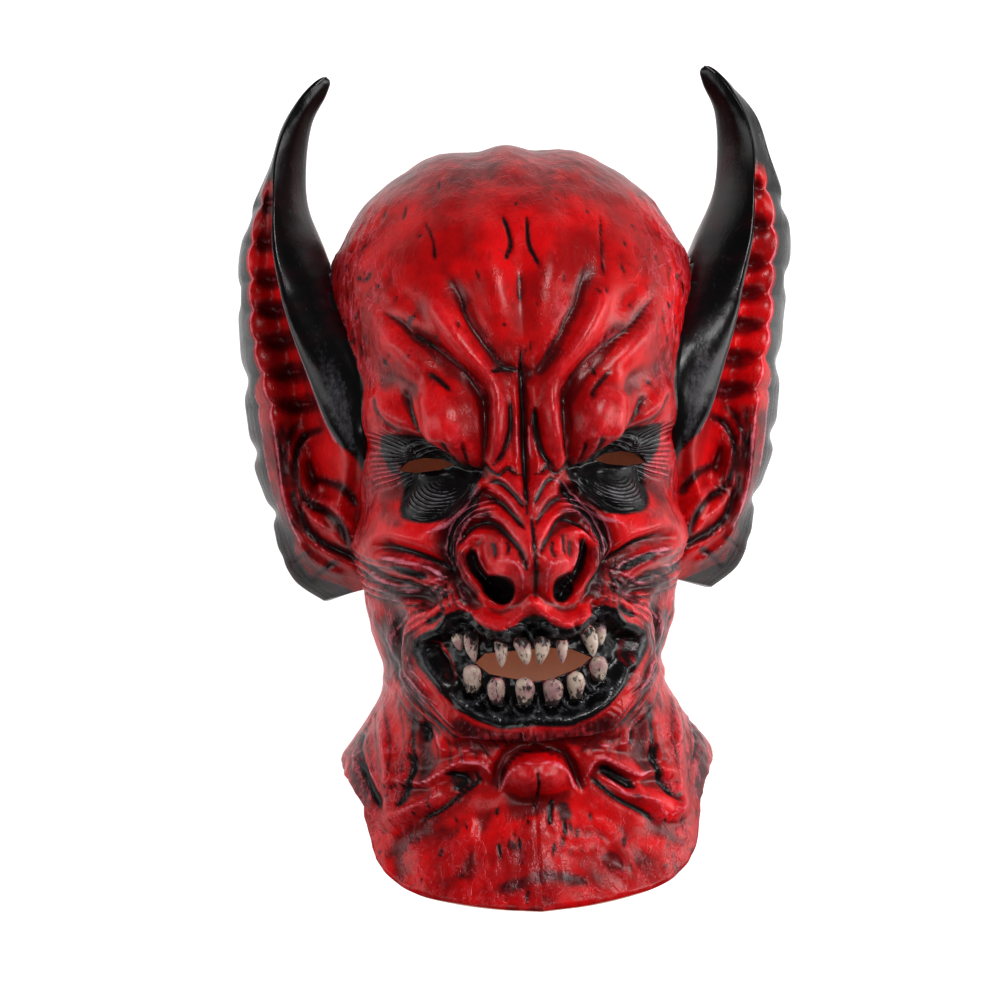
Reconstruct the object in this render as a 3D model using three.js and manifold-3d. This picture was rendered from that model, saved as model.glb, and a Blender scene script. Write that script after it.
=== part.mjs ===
// Demon mask: a full-head slip-cast latex mask with bat ears and a toothed mouth, lying on its back, face up.
// Millimetres. X runs across the face, Y up the face to the crown, Z out of the face.
import * as THREE from "three";
import { mergeVertices } from "three/addons/utils/BufferGeometryUtils.js";
import Module from "manifold-3d";

const wasm = await Module();
wasm.setup();

const WALL = 2.6; // latex wall
const GRID = 256; // cells along each side of the sampled half shell
const OUTER_TOLERANCE = 1.5; // how far a facet may lie off the carved form
const INNER_TOLERANCE = 2.2;
const SOFTNESS = 2; // cells over which the carving is rounded off
const CROWN_Y = 169.5;
const NECK_Y = -112; // below this the rows bend to follow the cut edge
const AXIS_Z = -8; // depth of the widest line of the head
const FLAT_Z = -115; // small flat spot at the back of the skull

// Half width of the head at each height.
const WIDTH = [
  [169.5, 0], [169, 14], [167.5, 30], [164, 44.5], [158.5, 56.5], [150, 68.5], [140, 79], [130, 85.5], [120, 91],
  [110, 96.5], [98, 98.5], [80, 97.5], [55, 94.5], [30, 91], [0, 89], [-40, 85], [-70, 84], [-95, 78.5],
  [-110, 75], [-120, 76.5], [-135, 85], [-146, 93], [-156, 100], [-175, 106], [-205, 112], [-240, 116],
  [-270, 118],
];
// Depth of the smooth face line in front of the axis, without nose, brows and jaw.
const FRONT = [
  [169.5, -6], [169, 8], [167.5, 22], [162, 40], [153, 58], [138, 76], [116, 92], [90, 102], [60, 107], [30, 108],
  [0, 102], [-30, 100], [-60, 102], [-100, 106], [-130, 100], [-150, 90], [-175, 86], [-195, 90], [-232, 103],
  [-270, 112],
];
// Depth of the back of the head and neck.
const BACK = [
  [169.5, -6], [169, -20], [167.5, -36], [162, -54], [153, -74], [138, -94], [114, -108], [85, -118],
  [60, -120.5], [30, -119], [0, -109], [-40, -95], [-80, -83], [-105, -80], [-130, -90], [-150, -104],
  [-164, -116], [-200, -136], [-270, -150],
];
// Cut edge of the neck against the angle round the head in degrees, 0 at the front.
const TRIM = [
  [0, -233], [10, -231.5], [16, -230], [24, -227.5], [32, -224.5], [37.5, -221], [42.5, -216], [47, -209.5],
  [50.5, -202], [53.5, -191], [58, -179], [64, -169.5], [73, -162.5], [88, -155], [105, -153], [125, -157],
  [150, -164], [180, -167],
];

// Raised and hollowed forms: [x, y, half width, half height, lift, turn in degrees]. Mirrored to both sides.
const BULGES = [
  [0, -34, 25, 52, 20, 0], // bridge and body of the nose
  [0, -55, 44, 29, 17, 0], // flat tip
  [14, -62, 12, 14, 7, 12], // nostril bulb
  [34, -54, 12, 24, 7, -10], // wing
  [0, -104, 76, 46, 12, 0], // muzzle
  [38, 18, 23, 32, 13, -20], // brow lobe
  [15, 14, 10, 30, 8, 4], // inner brow lobe
  [70, 27, 22, 22, 6, 20], // end of the brow
  [52, -6, 34, 25, -17, 5], // eye socket
  [50, -14, 22, 17, 9, 8], // bag under the eye
  [68, -43, 34, 30, 11, -20], // cheek
  [30, 66, 17, 42, 4, -30], // forehead swelling beside the V
  [14, 96, 14, 50, 4, -8],
  [64, 66, 18, 40, 4, -28],
  [0, 167, 16, 24, 3, 0], // low bumps of the crown
  [36, 163, 20, 20, 2, 0],
  [0, -162, 23, 18, 15, 0], // chin ball
  [52, -178, 36, 15, 4, -10], // collar swelling
  [0, -206, 26, 34, 3, 0],
];
// Lines cut or raised: [lift, half width, [x, y] ...]. Mirrored to both sides.
const LINES = [
  [-7, 7, [0, 56], [0, 30], [0, 6], [0, -8]], // centre groove
  [-6, 8, [34, 94], [30, 81], [25, 71], [19, 61], [12, 51], [4, 46]], // inner V groove
  [-5, 8, [66, 80], [58, 70], [46, 60], [33, 50], [26, 43], [21.5, 33]], // outer V groove
  [-6, 6, [21.5, 33], [20.5, 20], [21.5, 8], [23.5, 0]], // between the brow lobes
  [-5, 7, [80, 13], [70, 13], [60, 14], [52, 11], [46, 5], [40, 0], [32, -4], [24, -5]], // under the brow
  [-5, 6, [5, -47], [9, -39], [14, -33], [22, -30], [31, -32], [35, -38]], // nose folds
  [-4, 6, [6, -29], [11, -22], [18, -18], [24, -16]],
  [-6, 8, [14, -10], [21, -16], [30, -24], [38, -32], [41, -41], [39, -50], [34, -60], [30, -74]],
  [-9, 7, [29, -44], [28, -51], [25, -57], [20, -63], [14, -69]], // nostril
  [-6, 8, [36, -62], [41, -57], [48, -51], [56, -46], [66, -42]], // fold from nose to cheek
  [-5, 8, [84, -50], [72, -57], [62, -63], [54, -70]],
  [-4, 8, [76, -66], [70, -80], [69, -92], [69, -104]],
  [5, 7, [64, -83], [66, -92], [63, -105], [57, -116], [50, -128], [40, -138]], // fold round the mouth
  [4, 6, [36, -135], [26, -140], [14, -140], [0, -141]], // lower lip
  [4, 6, [55, -80], [44, -74], [34, -70], [28, -76], [22, -82], [15, -84], [9, -81], [0, -76]], // upper lip
  [-6, 6, [24, -170], [20, -161], [15, -153], [8, -149], [0, -148]], // round the chin ball
  [6, 6, [22, -167], [28, -156], [36, -155], [46, -160], [54, -165], [68, -165]], // collar ridges
  [6, 6, [48, -170], [54, -177], [62, -181], [74, -187]],
  [5, 7, [77, -126], [77, -146], [76, -165], [76, -184]], // cord of the neck
  [-6, 7, [56, -136], [57, -150], [58, -160]],
];
// Black lips: the outline and the flat gum behind it, sunk below the face.
const LIPS = [
  [0, -80], [5, -82], [9, -85.5], [15, -88], [21, -86.5], [26, -83], [30, -78], [36, -75.5], [44, -78],
  [49, -85], [55, -87], [60.5, -91], [60.5, -97], [57.5, -103.5], [51.5, -111], [45, -120],
  [37.5, -128.5], [29, -133], [18, -136.5], [8, -136], [0, -135],
];
const LIP_SINK = 11;
const LIP_SLOPE = 9;
// Gap between the teeth, seen from the front, left and right sides drawn apart.
const MOUTH_GAP = [
  [-30, -103.5], [-25, -98.5], [-9, -97.5], [7, -96.5], [20, -98], [31, -103], [25, -107.5],
  [16, -110.8], [8, -113.5], [0, -114], [-12, -112], [-23, -109.5],
];
const EYE_GAP = [
  [65.5, -2], [60, 2.6], [52, 4.2], [43, 3.2], [37, 0], [44, -2.4], [56, -3.6],
];
// Teeth: [x, y of the root, y of the tip, half width, lean of the tip in x].
const UPPER_TEETH = [
  [-38.5, -88, -97, 3.4, 1], [-31.5, -87, -103, 4, 1], [-17, -91, -106, 3.6, 0],
  [-7, -91, -105.2, 4.4, 3], [4.5, -90.5, -105.2, 4.2, -2], [14, -90, -105, 3.4, 0.5],
  [28, -86, -102.5, 4.5, 3], [36, -85, -96.5, 3, 0],
];
const TOOTH_RAKE = 3; // how far a tooth leans out of the gum
const LOWER_TEETH = [
  [-32, -119, -104, 5.2, 0], [-19.3, -125.5, -111, 4.8, 0], [-5.5, -126, -111.5, 5.2, 0],
  [9, -126.5, -112.5, 5.4, 0], [21.2, -124, -109.2, 4.9, 0], [34, -115.5, -102, 5.2, 0],
];

// Ear, right side: stations down its length, each a line across it from the head to the outer rim.
// [head edge x y z], [blade lip x y z], [valley x y z], [scallop ridge x y z], [rim x y z]
const EAR = [
  [[99, 210.5, 12], [102, 212, 15], [104, 212, 14], [105, 211, 12], [105, 209.5, 10]],
  [[102.5, 201, 10], [112.5, 202, 18], [114.5, 202, 14], [115.5, 201.5, 10], [115.5, 199.5, 6]],
  [[109.5, 187, 6], [123, 186, 20], [124.5, 185, 13], [125.5, 185, 9], [125.5, 184, 3]],
  [[112.3, 166, -1], [129, 166, 22], [130, 165, 10], [131, 165, 5], [131.5, 165, -2]],
  [[110.8, 143, -4], [129.5, 143, 24], [131.5, 143, 4], [138, 142, 0], [141.5, 142, -15]],
  [[101.5, 119, 3], [129, 120, 28], [132, 120, -1], [142, 120, -2], [147, 120, -24]],
  [[94, 97, 18], [124.5, 97, 33], [128.5, 97, -3], [141, 98, -2], [147.5, 97, -28]],
  [[88, 73, 37], [118.5, 73, 40], [123.5, 73, -2], [140, 73, 1], [147, 73, -28]],
  [[79, 48, 49], [110, 48, 45], [118.5, 48, -1], [135, 48, 5], [146, 47, -27]],
  [[79, 25, 50], [102, 25, 47], [113, 24, -1], [130.5, 25, 6], [144, 25, -27]],
  [[81, 8, 42], [93, 8, 44], [111, 5, -3], [128, 5, 2], [142, 5, -28]],
  [[82, -9, 24], [94, -9, 28], [106, -10, -4], [126, -15, -3], [136, -14, -29]],
  [[80, -24, 14], [97, -23, 20], [105, -26, 3], [122, -30, -7], [132, -30, -30]],
  [[78, -38, 8], [91, -39, 13], [98, -42, 4], [114, -44, -9], [129, -44, -31]],
  [[76, -52, 2], [84, -52, 6], [90, -54, 2], [104, -57, -12], [121, -60, -32]],
  [[74, -62, -6], [79, -63, -4], [83, -65, -8], [91, -67, -16], [106, -71, -33]],
];
const EAR_ROWS = 42;
const RIB_FROM = 4.2; // station where the ribs begin
const RIB_TO = 11.5;
const RIB_COUNT = 8;
const RIB_LIFT = 4.5;
const SCALLOP = 3.2; // how far the outer rim steps in between the fins
const EAR_LEAN = 0.055; // both tips lean to the right above the crown
const LEAN_FROM_Y = 90;
// The right ear's black fin stands farther out than the left one's: station, millimetres.
const RIGHT_FIN = [
  [0, 0], [1, 3], [2, 6.5], [3, 8], [4, 8], [5, 8], [6, 7.5], [7, 4.5], [8, 3], [9, 2.5], [10, 2], [11, 1], [12, 0],
  [15, 1.5],
];
const HOLLOW_STATIONS = [6.7, 7.4, 8.2, 9, 9.8, 10.6, 11.4, 12.2];
const HOLLOW_REACH = 16; // how far the hollow runs into the head
const SKIN = 5; // least wall left round the hollow
const EAR_SKIN = 4.2; // thickness of the thin parts of the ear

const clamp = (value, low, high) => Math.min(high, Math.max(low, value));
const smooth = (from, to, value) => {
  const t = clamp((value - from) / (to - from), 0, 1);
  return t * t * (3 - 2 * t);
};

// Smooth curve through rows of [key, value], keys rising or falling.
function profile(rows, key) {
  const rising = rows[rows.length - 1][0] > rows[0][0];
  let i = 0;
  while (i < rows.length - 2 && (rising ? key > rows[i + 1][0] : key < rows[i + 1][0])) {
    i += 1;
  }
  const at = (k) => rows[clamp(k, 0, rows.length - 1)];
  const slope = (a, b) => (b[0] === a[0] ? 0 : (b[1] - a[1]) / (b[0] - a[0]));
  const tangent = (k) => {
    const before = slope(at(k - 1), at(k));
    const after = slope(at(k), at(k + 1));
    if (k === 0) {
      return after;
    }
    if (k === rows.length - 1) {
      return before;
    }
    return before * after <= 0 ? 0 : (2 * before * after) / (before + after);
  };
  const step = at(i + 1)[0] - at(i)[0];
  const t = clamp((key - at(i)[0]) / step, 0, 1);
  const t2 = t * t;
  const t3 = t2 * t;
  const start = (2 * t3 - 3 * t2 + 1) * at(i)[1] + (t3 - 2 * t2 + t) * step * tangent(i);
  return start + (3 * t2 - 2 * t3) * at(i + 1)[1] + (t3 - t2) * step * tangent(i + 1);
}

// Heights of the rows, evenly spaced along the head from the crown to the neck line and on to the cut edge.
function rowHeights(count) {
  const steps = 1200;
  const ys = [CROWN_Y];
  const lengths = [0];
  for (let i = 1; i <= steps; i += 1) {
    const sweep = i / steps;
    const y = CROWN_Y - (CROWN_Y + 232) * sweep * sweep * (3 - 2 * sweep) * 0.35 - (CROWN_Y + 232) * sweep * 0.65;
    const last = ys[i - 1];
    const dz = profile(FRONT, y) - profile(FRONT, last);
    const dx = profile(WIDTH, y) - profile(WIDTH, last);
    ys.push(y);
    lengths.push(lengths[i - 1] + Math.hypot(y - last, dz * 0.75, dx * 0.75));
  }
  const heights = [];
  let k = 0;
  for (let j = 0; j <= count; j += 1) {
    const want = (lengths[steps] * j) / count;
    while (k < steps - 1 && lengths[k + 1] < want) {
      k += 1;
    }
    const part = (want - lengths[k]) / (lengths[k + 1] - lengths[k]);
    heights.push(ys[k] + (ys[k + 1] - ys[k]) * part);
  }
  return heights;
}

const HEIGHTS = rowHeights(GRID);

// Smooth head without carving: angle round the head (0 front, signed), row from 0 at the crown to GRID.
function headPoint(angle, row) {
  const straight = row <= GRID ? HEIGHTS[row] : HEIGHTS[GRID];
  const trim = profile(TRIM, (Math.abs(angle) * 180) / Math.PI);
  let y = straight;
  if (straight < NECK_Y) {
    y = NECK_Y + ((straight - NECK_Y) * (trim - NECK_Y)) / (HEIGHTS[GRID] - NECK_Y);
  }
  const width = Math.max(profile(WIDTH, y), 0.01);
  const deep = Math.cos(angle) >= 0 ? profile(FRONT, y) - AXIS_Z : AXIS_Z - profile(BACK, y);
  const power = Math.cos(angle) >= 0 ? 2.25 : 2.1;
  const across = Math.abs(Math.sin(angle)) / width;
  const out = Math.abs(Math.cos(angle)) / Math.max(deep, 0.01);
  const reach = 1 / Math.pow(Math.pow(across, power) + Math.pow(out, power), 1 / power);
  return new THREE.Vector3(Math.sin(angle) * reach, y, AXIS_Z + Math.cos(angle) * reach);
}

const angleOf = (column) => {
  const u = column / GRID;
  return Math.PI * u * (0.62 + 0.38 * u);
};

function toSegment(x, y, a, b) {
  const dx = b[0] - a[0];
  const dy = b[1] - a[1];
  const t = clamp(((x - a[0]) * dx + (y - a[1]) * dy) / (dx * dx + dy * dy), 0, 1);
  return Math.hypot(x - a[0] - t * dx, y - a[1] - t * dy);
}

function signedDistance(x, y, outline) {
  let best = Infinity;
  let inside = false;
  for (let i = 0; i < outline.length; i += 1) {
    const a = outline[i];
    const b = outline[(i + 1) % outline.length];
    best = Math.min(best, toSegment(x, y, a, b));
    if (a[1] > y !== b[1] > y && x < ((b[0] - a[0]) * (y - a[1])) / (b[1] - a[1]) + a[0]) {
      inside = !inside;
    }
  }
  return inside ? best : -best;
}

const LIP_OUTLINE = [...LIPS, ...LIPS.slice(1, -1).reverse().map(([x, y]) => [-x, y])];

// Lift of the carving over the smooth head at a point of the face.
function carving(px, y) {
  const x = Math.abs(px);
  let lift = 0;
  for (const [cx, cy, rx, ry, height, turn] of BULGES) {
    const c = Math.cos((turn * Math.PI) / 180);
    const s = Math.sin((turn * Math.PI) / 180);
    for (const side of [1, -1]) {
      const dx = x - cx * side;
      const dy = y - cy;
      const along = (dx * c + dy * s * side) / rx;
      const up = (dy * c - dx * s * side) / ry;
      const r = along * along + up * up;
      if (r < 1) {
        lift += height * (1 - r) * (1 - r) * (cx === 0 ? 0.5 : 1);
      }
    }
  }
  for (const [height, half, ...points] of LINES) {
    let near = Infinity;
    for (let i = 0; i + 1 < points.length; i += 1) {
      near = Math.min(near, toSegment(x, y, points[i], points[i + 1]));
    }
    if (near < half) {
      const t = 1 - (near * near) / (half * half);
      lift += height * t * t;
    }
  }
  if (x < 66 && y < -70 && y > -140) {
    const depth = signedDistance(x, y, LIP_OUTLINE);
    lift -= LIP_SINK * smooth(0, LIP_SLOPE, depth);
  }
  return lift;
}

const at = (i, j) => j * (GRID + 1) + i;

// Sampled half shell on one side: outer skin and the inner skin kept a wall behind it.
function sampleSide(side) {
  const size = (GRID + 1) * (GRID + 1);
  const base = [];
  for (let j = 0; j <= GRID; j += 1) {
    for (let i = 0; i <= GRID; i += 1) {
      base.push(headPoint(side * angleOf(i), j));
    }
  }
  const normals = [];
  const u = new THREE.Vector3();
  const v = new THREE.Vector3();
  for (let j = 0; j <= GRID; j += 1) {
    for (let i = 0; i <= GRID; i += 1) {
      if (j === 0) {
        normals.push(new THREE.Vector3(0, 1, 0));
        continue;
      }
      const left = i === 0 ? headPoint(-side * angleOf(1), j) : base[at(i - 1, j)];
      const right = i === GRID ? headPoint(-side * angleOf(GRID - 1), j) : base[at(i + 1, j)];
      u.subVectors(right, left);
      v.subVectors(base[at(i, Math.min(j + 1, GRID))], base[at(i, j - 1)]);
      const n = new THREE.Vector3().crossVectors(v, u).multiplyScalar(side).normalize();
      if (i === 0 || i === GRID) {
        n.x = 0;
        n.normalize();
      }
      normals.push(n);
    }
  }
  const lift = new Float64Array(size);
  for (let j = 1; j <= GRID; j += 1) {
    for (let i = 0; i <= GRID; i += 1) {
      const p = base[at(i, j)];
      const front = Math.max(smooth(-0.15, 0.25, Math.cos(angleOf(i))), smooth(135, 155, p.y));
      lift[at(i, j)] = front > 0 ? carving(p.x, p.y) * front : 0;
    }
  }
  lift.set(blur(lift, SOFTNESS));
  const lowest = spread(lift, 5, Math.min);
  const eased = blur(blur(lowest, 2), 2);
  const outer = [];
  const inner = [];
  for (let k = 0; k < size; k += 1) {
    const o = base[k].clone().addScaledVector(normals[k], lift[k]);
    o.z = Math.max(o.z, FLAT_Z);
    outer.push(o);
    const back = base[k].clone().addScaledVector(normals[k], eased[k] - WALL);
    back.z = Math.max(back.z, FLAT_Z + WALL);
    inner.push(back);
  }
  return { outer, inner, normals };
}

function spread(values, reach, pick) {
  const rows = new Float64Array(values.length);
  const out = new Float64Array(values.length);
  for (let j = 0; j <= GRID; j += 1) {
    for (let i = 0; i <= GRID; i += 1) {
      let best = values[at(i, j)];
      for (let k = -reach; k <= reach; k += 1) {
        best = pick(best, values[at(clamp(Math.abs(i + k), 0, GRID), j)]);
      }
      rows[at(i, j)] = best;
    }
  }
  for (let j = 0; j <= GRID; j += 1) {
    for (let i = 0; i <= GRID; i += 1) {
      let best = rows[at(i, j)];
      for (let k = -reach; k <= reach; k += 1) {
        best = pick(best, rows[at(i, clamp(j + k, 0, GRID))]);
      }
      out[at(i, j)] = best;
    }
  }
  return out;
}

function blur(values, reach) {
  const out = new Float64Array(values.length);
  for (let j = 0; j <= GRID; j += 1) {
    for (let i = 0; i <= GRID; i += 1) {
      let sum = 0;
      for (let a = -reach; a <= reach; a += 1) {
        for (let b = -reach; b <= reach; b += 1) {
          sum += values[at(clamp(Math.abs(i + a), 0, GRID), clamp(j + b, 0, GRID))];
        }
      }
      out[at(i, j)] = sum / ((2 * reach + 1) * (2 * reach + 1));
    }
  }
  return out;
}

// Right-angled triangles split only where the form needs them. Returns corner indices of the grid.
function adaptiveTriangles(fields, tolerance) {
  const errors = new Float64Array((GRID + 1) * (GRID + 1));
  const levels = [];
  const gather = (ax, ay, bx, by, cx, cy, depth) => {
    const mx = (ax + bx) / 2;
    const my = (ay + by) / 2;
    if (!Number.isInteger(mx) || !Number.isInteger(my)) {
      return;
    }
    if (!levels[depth]) {
      levels[depth] = [];
    }
    levels[depth].push([ax, ay, bx, by, cx, cy, mx, my]);
    gather(cx, cy, ax, ay, mx, my, depth + 1);
    gather(bx, by, cx, cy, mx, my, depth + 1);
  };
  gather(0, 0, GRID, GRID, GRID, 0, 0);
  gather(GRID, GRID, 0, 0, 0, GRID, 0);
  const middle = new THREE.Vector3();
  for (let depth = levels.length - 1; depth >= 0; depth -= 1) {
    for (const [ax, ay, bx, by, cx, cy, mx, my] of levels[depth]) {
      let error = 0;
      for (const field of fields) {
        const k = at(mx, my);
        middle.addVectors(field.points[at(ax, ay)], field.points[at(bx, by)]).multiplyScalar(0.5);
        error = Math.max(error, Math.abs(middle.sub(field.points[k]).dot(field.normals[k])));
      }
      const childA = errors[at((ax + cx) / 2, (ay + cy) / 2)] || 0;
      const childB = errors[at((bx + cx) / 2, (by + cy) / 2)] || 0;
      const here = at(mx, my);
      const whole = Number.isInteger((ax + cx) / 2) && Number.isInteger((ay + cy) / 2);
      errors[here] = Math.max(errors[here], error, whole ? Math.max(childA, childB) : 0);
    }
  }
  const triangles = [];
  const emit = (ax, ay, bx, by, cx, cy) => {
    const mx = (ax + bx) / 2;
    const my = (ay + by) / 2;
    const whole = Number.isInteger(mx) && Number.isInteger(my);
    if (whole && errors[at(mx, my)] > tolerance) {
      emit(cx, cy, ax, ay, mx, my);
      emit(bx, by, cx, cy, mx, my);
    } else {
      triangles.push([at(ax, ay), at(bx, by), at(cx, cy)]);
    }
  };
  emit(0, 0, GRID, GRID, GRID, 0);
  emit(GRID, GRID, 0, 0, 0, GRID);
  return triangles;
}

// Joins both halves at the middle lines and the crown, and closes the neck with a fan to one point.
function closedHead(sides, layer, tolerance, extension, capPoint) {
  const fields = sides.map((side) => ({ points: side[layer], normals: side.normals }));
  const triangles = adaptiveTriangles(fields, tolerance);
  const points = [];
  const seen = new Map();
  const faces = [];
  const vertex = (side, k) => {
    const i = k % (GRID + 1);
    const j = (k - i) / (GRID + 1);
    const shared = i === 0 || i === GRID || j === 0;
    const name = j === 0 ? "crown" : `${shared ? "both" : side} ${k}`;
    if (!seen.has(name)) {
      seen.set(name, points.length);
      const p = sides[side][layer][k].clone();
      if (shared) {
        p.x = 0;
      }
      points.push(p);
    }
    return seen.get(name);
  };
  const rims = [new Set(), new Set()];
  for (const side of [0, 1]) {
    for (const [a, b, c] of triangles) {
      const t = [vertex(side, a), vertex(side, b), vertex(side, c)];
      if (t[0] === t[1] || t[1] === t[2] || t[0] === t[2]) {
        continue;
      }
      faces.push(side === 0 ? t : [t[0], t[2], t[1]]);
      for (const k of [a, b, c]) {
        if (k >= at(0, GRID)) {
          rims[side].add(k);
        }
      }
    }
  }
  const right = [...rims[0]].sort((a, b) => a - b).map((k) => vertex(0, k));
  const left = [...rims[1]].sort((a, b) => b - a).map((k) => vertex(1, k));
  let loop = [...right, ...left.slice(1, -1)];
  const along = faces.some((t) => [0, 1, 2].some((n) => t[n] === loop[0] && t[(n + 1) % 3] === loop[1]));
  if (along) {
    loop.reverse();
  }
  if (extension > 0) {
    const lowered = loop.map((k) => {
      const p = points[k].clone();
      p.y -= extension;
      points.push(p);
      return points.length - 1;
    });
    loop.forEach((k, n) => {
      const next = (n + 1) % loop.length;
      faces.push([k, loop[next], lowered[next]], [k, lowered[next], lowered[n]]);
    });
    loop = lowered;
  }
  points.push(capPoint);
  const tip = points.length - 1;
  loop.forEach((k, n) => faces.push([k, loop[(n + 1) % loop.length], tip]));
  return solid(points, orient(points, faces));
}

// Turns every face the same way as its neighbours already are, then outwards.
function orient(points, faces) {
  let volume = 0;
  for (const [a, b, c] of faces) {
    volume += points[a].dot(new THREE.Vector3().crossVectors(points[b], points[c])) / 6;
  }
  return volume > 0 ? faces : faces.map(([a, b, c]) => [a, c, b]);
}

function solid(points, faces) {
  const vertices = new Float32Array(points.length * 3);
  points.forEach((p, k) => vertices.set([p.x, p.y, p.z], k * 3));
  const mesh = new wasm.Mesh({
    numProp: 3,
    vertProperties: vertices,
    triVerts: new Uint32Array(faces.flat()),
  });
  mesh.merge();
  return new wasm.Manifold(mesh);
}

// Closed skin over rings of points, each ring the same length, with a fan at both ends.
function loft(rings) {
  const count = rings[0].length;
  const points = rings.flat();
  const faces = [];
  for (let r = 0; r + 1 < rings.length; r += 1) {
    for (let k = 0; k < count; k += 1) {
      const a = r * count + k;
      const b = r * count + ((k + 1) % count);
      faces.push([a, b, b + count], [a, b + count, a + count]);
    }
  }
  for (const r of [0, rings.length - 1]) {
    const middle = rings[r].reduce((sum, p) => sum.add(p), new THREE.Vector3()).divideScalar(count);
    points.push(middle);
    for (let k = 0; k < count; k += 1) {
      const a = r * count + k;
      const b = r * count + ((k + 1) % count);
      faces.push(r === 0 ? [points.length - 1, b, a] : [points.length - 1, a, b]);
    }
  }
  return solid(points, orient(points, faces));
}

// Point between stations of the ear on one of its five rails.
function rail(index, station) {
  const k = clamp(Math.floor(station), 0, EAR.length - 2);
  const t = station - k;
  const value = (n, axis) => EAR[clamp(n, 0, EAR.length - 1)][index][axis];
  const out = [];
  for (let axis = 0; axis < 3; axis += 1) {
    const a = value(k - 1, axis);
    const b = value(k, axis);
    const c = value(k + 1, axis);
    const d = value(k + 2, axis);
    const bend = (2 * a - 5 * b + 4 * c - d) * t * t + (3 * b - a - 3 * c + d) * t * t * t;
    out.push(0.5 * (2 * b + (c - a) * t + bend));
  }
  return new THREE.Vector3(...out);
}

const mix = (a, b, t) => a.clone().lerp(b, t);

// One ring across the ear: front from the head to the rim, then the back to the head again.
function earRing(station, side) {
  const head = rail(0, station);
  const lip = rail(1, station);
  const valley = rail(2, station);
  const ridge = rail(3, station);
  const rim = rail(4, station);
  const spread = side > 0 ? profile(RIGHT_FIN, station) : 0;
  ridge.x += spread * 0.3;
  rim.x += spread;
  const ribbed = smooth(RIB_FROM, RIB_FROM + 0.8, station) * (1 - smooth(RIB_TO - 0.8, RIB_TO, station));
  const phase = ((station - RIB_FROM) / (RIB_TO - RIB_FROM)) * RIB_COUNT;
  const wave = 0.5 - 0.5 * Math.cos(phase * 2 * Math.PI);
  const blade = 1 - smooth(9.2, 10.6, station);
  const crest = mix(head, lip, 0.5);
  crest.z += 4 * blade * smooth(0, 2, station);
  const under = mix(lip, valley, 0.45);
  under.x -= 3 * blade;
  const slope = mix(valley, ridge, 0.5);
  slope.z += RIB_LIFT * ribbed * (wave - 0.3);
  ridge.x -= SCALLOP * ribbed * (1 - wave) * 0.8;
  ridge.z += RIB_LIFT * 0.6 * ribbed * (wave - 0.4);
  const fin = mix(ridge, rim, 0.5);
  fin.x += 1.5 * ribbed;
  const fold = smooth(3.5, 4.5, station) * (1 - smooth(12.5, 13.5, station));
  rim.x -= SCALLOP * fold * Math.pow(0.5 + 0.5 * Math.cos(phase * 2 * Math.PI * 0.5), 4);
  const thick = EAR_SKIN * smooth(0, 2.5, station) + 1.2;
  const behindRim = rim.clone();
  behindRim.x -= thick * 0.7;
  behindRim.z -= thick * 0.8;
  const behind = mix(valley, ridge, 0.5);
  behind.z = Math.min(behind.z, rim.z) - thick * 0.9 - 5 * smooth(3, 6, station);
  const reach = smooth(3.6, 5.6, station);
  const root = head.clone();
  root.z = Math.min(head.z, valley.z) - thick - 22 * reach;
  const middle = mix(behind, root, 0.5);
  middle.z -= 5 * reach;
  const ring = [head, crest, lip, under, valley, slope, ridge, fin, rim, behindRim, behind, middle, root];
  return ring;
}

function ear(side) {
  const rings = [];
  for (let r = 0; r <= EAR_ROWS; r += 1) {
    const station = (r / EAR_ROWS) * (EAR.length - 1);
    rings.push(earRing(station, side).map((p) => {
      const lean = EAR_LEAN * Math.max(0, p.y - LEAN_FROM_Y);
      return new THREE.Vector3(side * p.x + lean, p.y, p.z);
    }));
  }
  return loft(rings);
}

// Hollow inside the thick middle of the ear, open to the head.
function earHollow(side) {
  const rings = [];
  for (const station of HOLLOW_STATIONS) {
    const ring = earRing(station, side);
    const shift = (p, dx, dz) => new THREE.Vector3(side * (p.x + dx), p.y, p.z + dz);
    rings.push([
      shift(ring[0], -HOLLOW_REACH, -9),
      shift(ring[0], 0, -SKIN - 1),
      shift(ring[1], 0, -SKIN - 1.5),
      shift(ring[2], -SKIN - 2, -SKIN - 3),
      shift(ring[3], -SKIN - 1.5, 0),
      shift(ring[4], -SKIN + 1.5, -SKIN - 2.5),
      shift(ring[6], -2, -SKIN - 4.5),
      shift(ring[8], -SKIN - 4, SKIN),
      shift(ring[10], 2, SKIN + 1.5),
      shift(ring[11], 0, SKIN + 1),
      shift(ring[12], 0, SKIN + 1),
      shift(ring[12], -HOLLOW_REACH, SKIN + 1),
    ]);
  }
  return loft(rings);
}

function prism(outline, side, from, to) {
  const near = outline.map(([x, y]) => new THREE.Vector3(side * x, y, from));
  const far = outline.map(([x, y]) => new THREE.Vector3(side * x, y, to));
  return loft([near, far]);
}

// Depth of the carved face at a point seen from the front.
function faceDepth(x, y) {
  const width = profile(WIDTH, y);
  const deep = profile(FRONT, y) - AXIS_Z;
  const flat = Math.pow(1 - Math.pow(Math.abs(x) / width, 2.25), 1 / 2.25);
  return AXIS_Z + deep * flat + carving(x, y);
}

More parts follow.
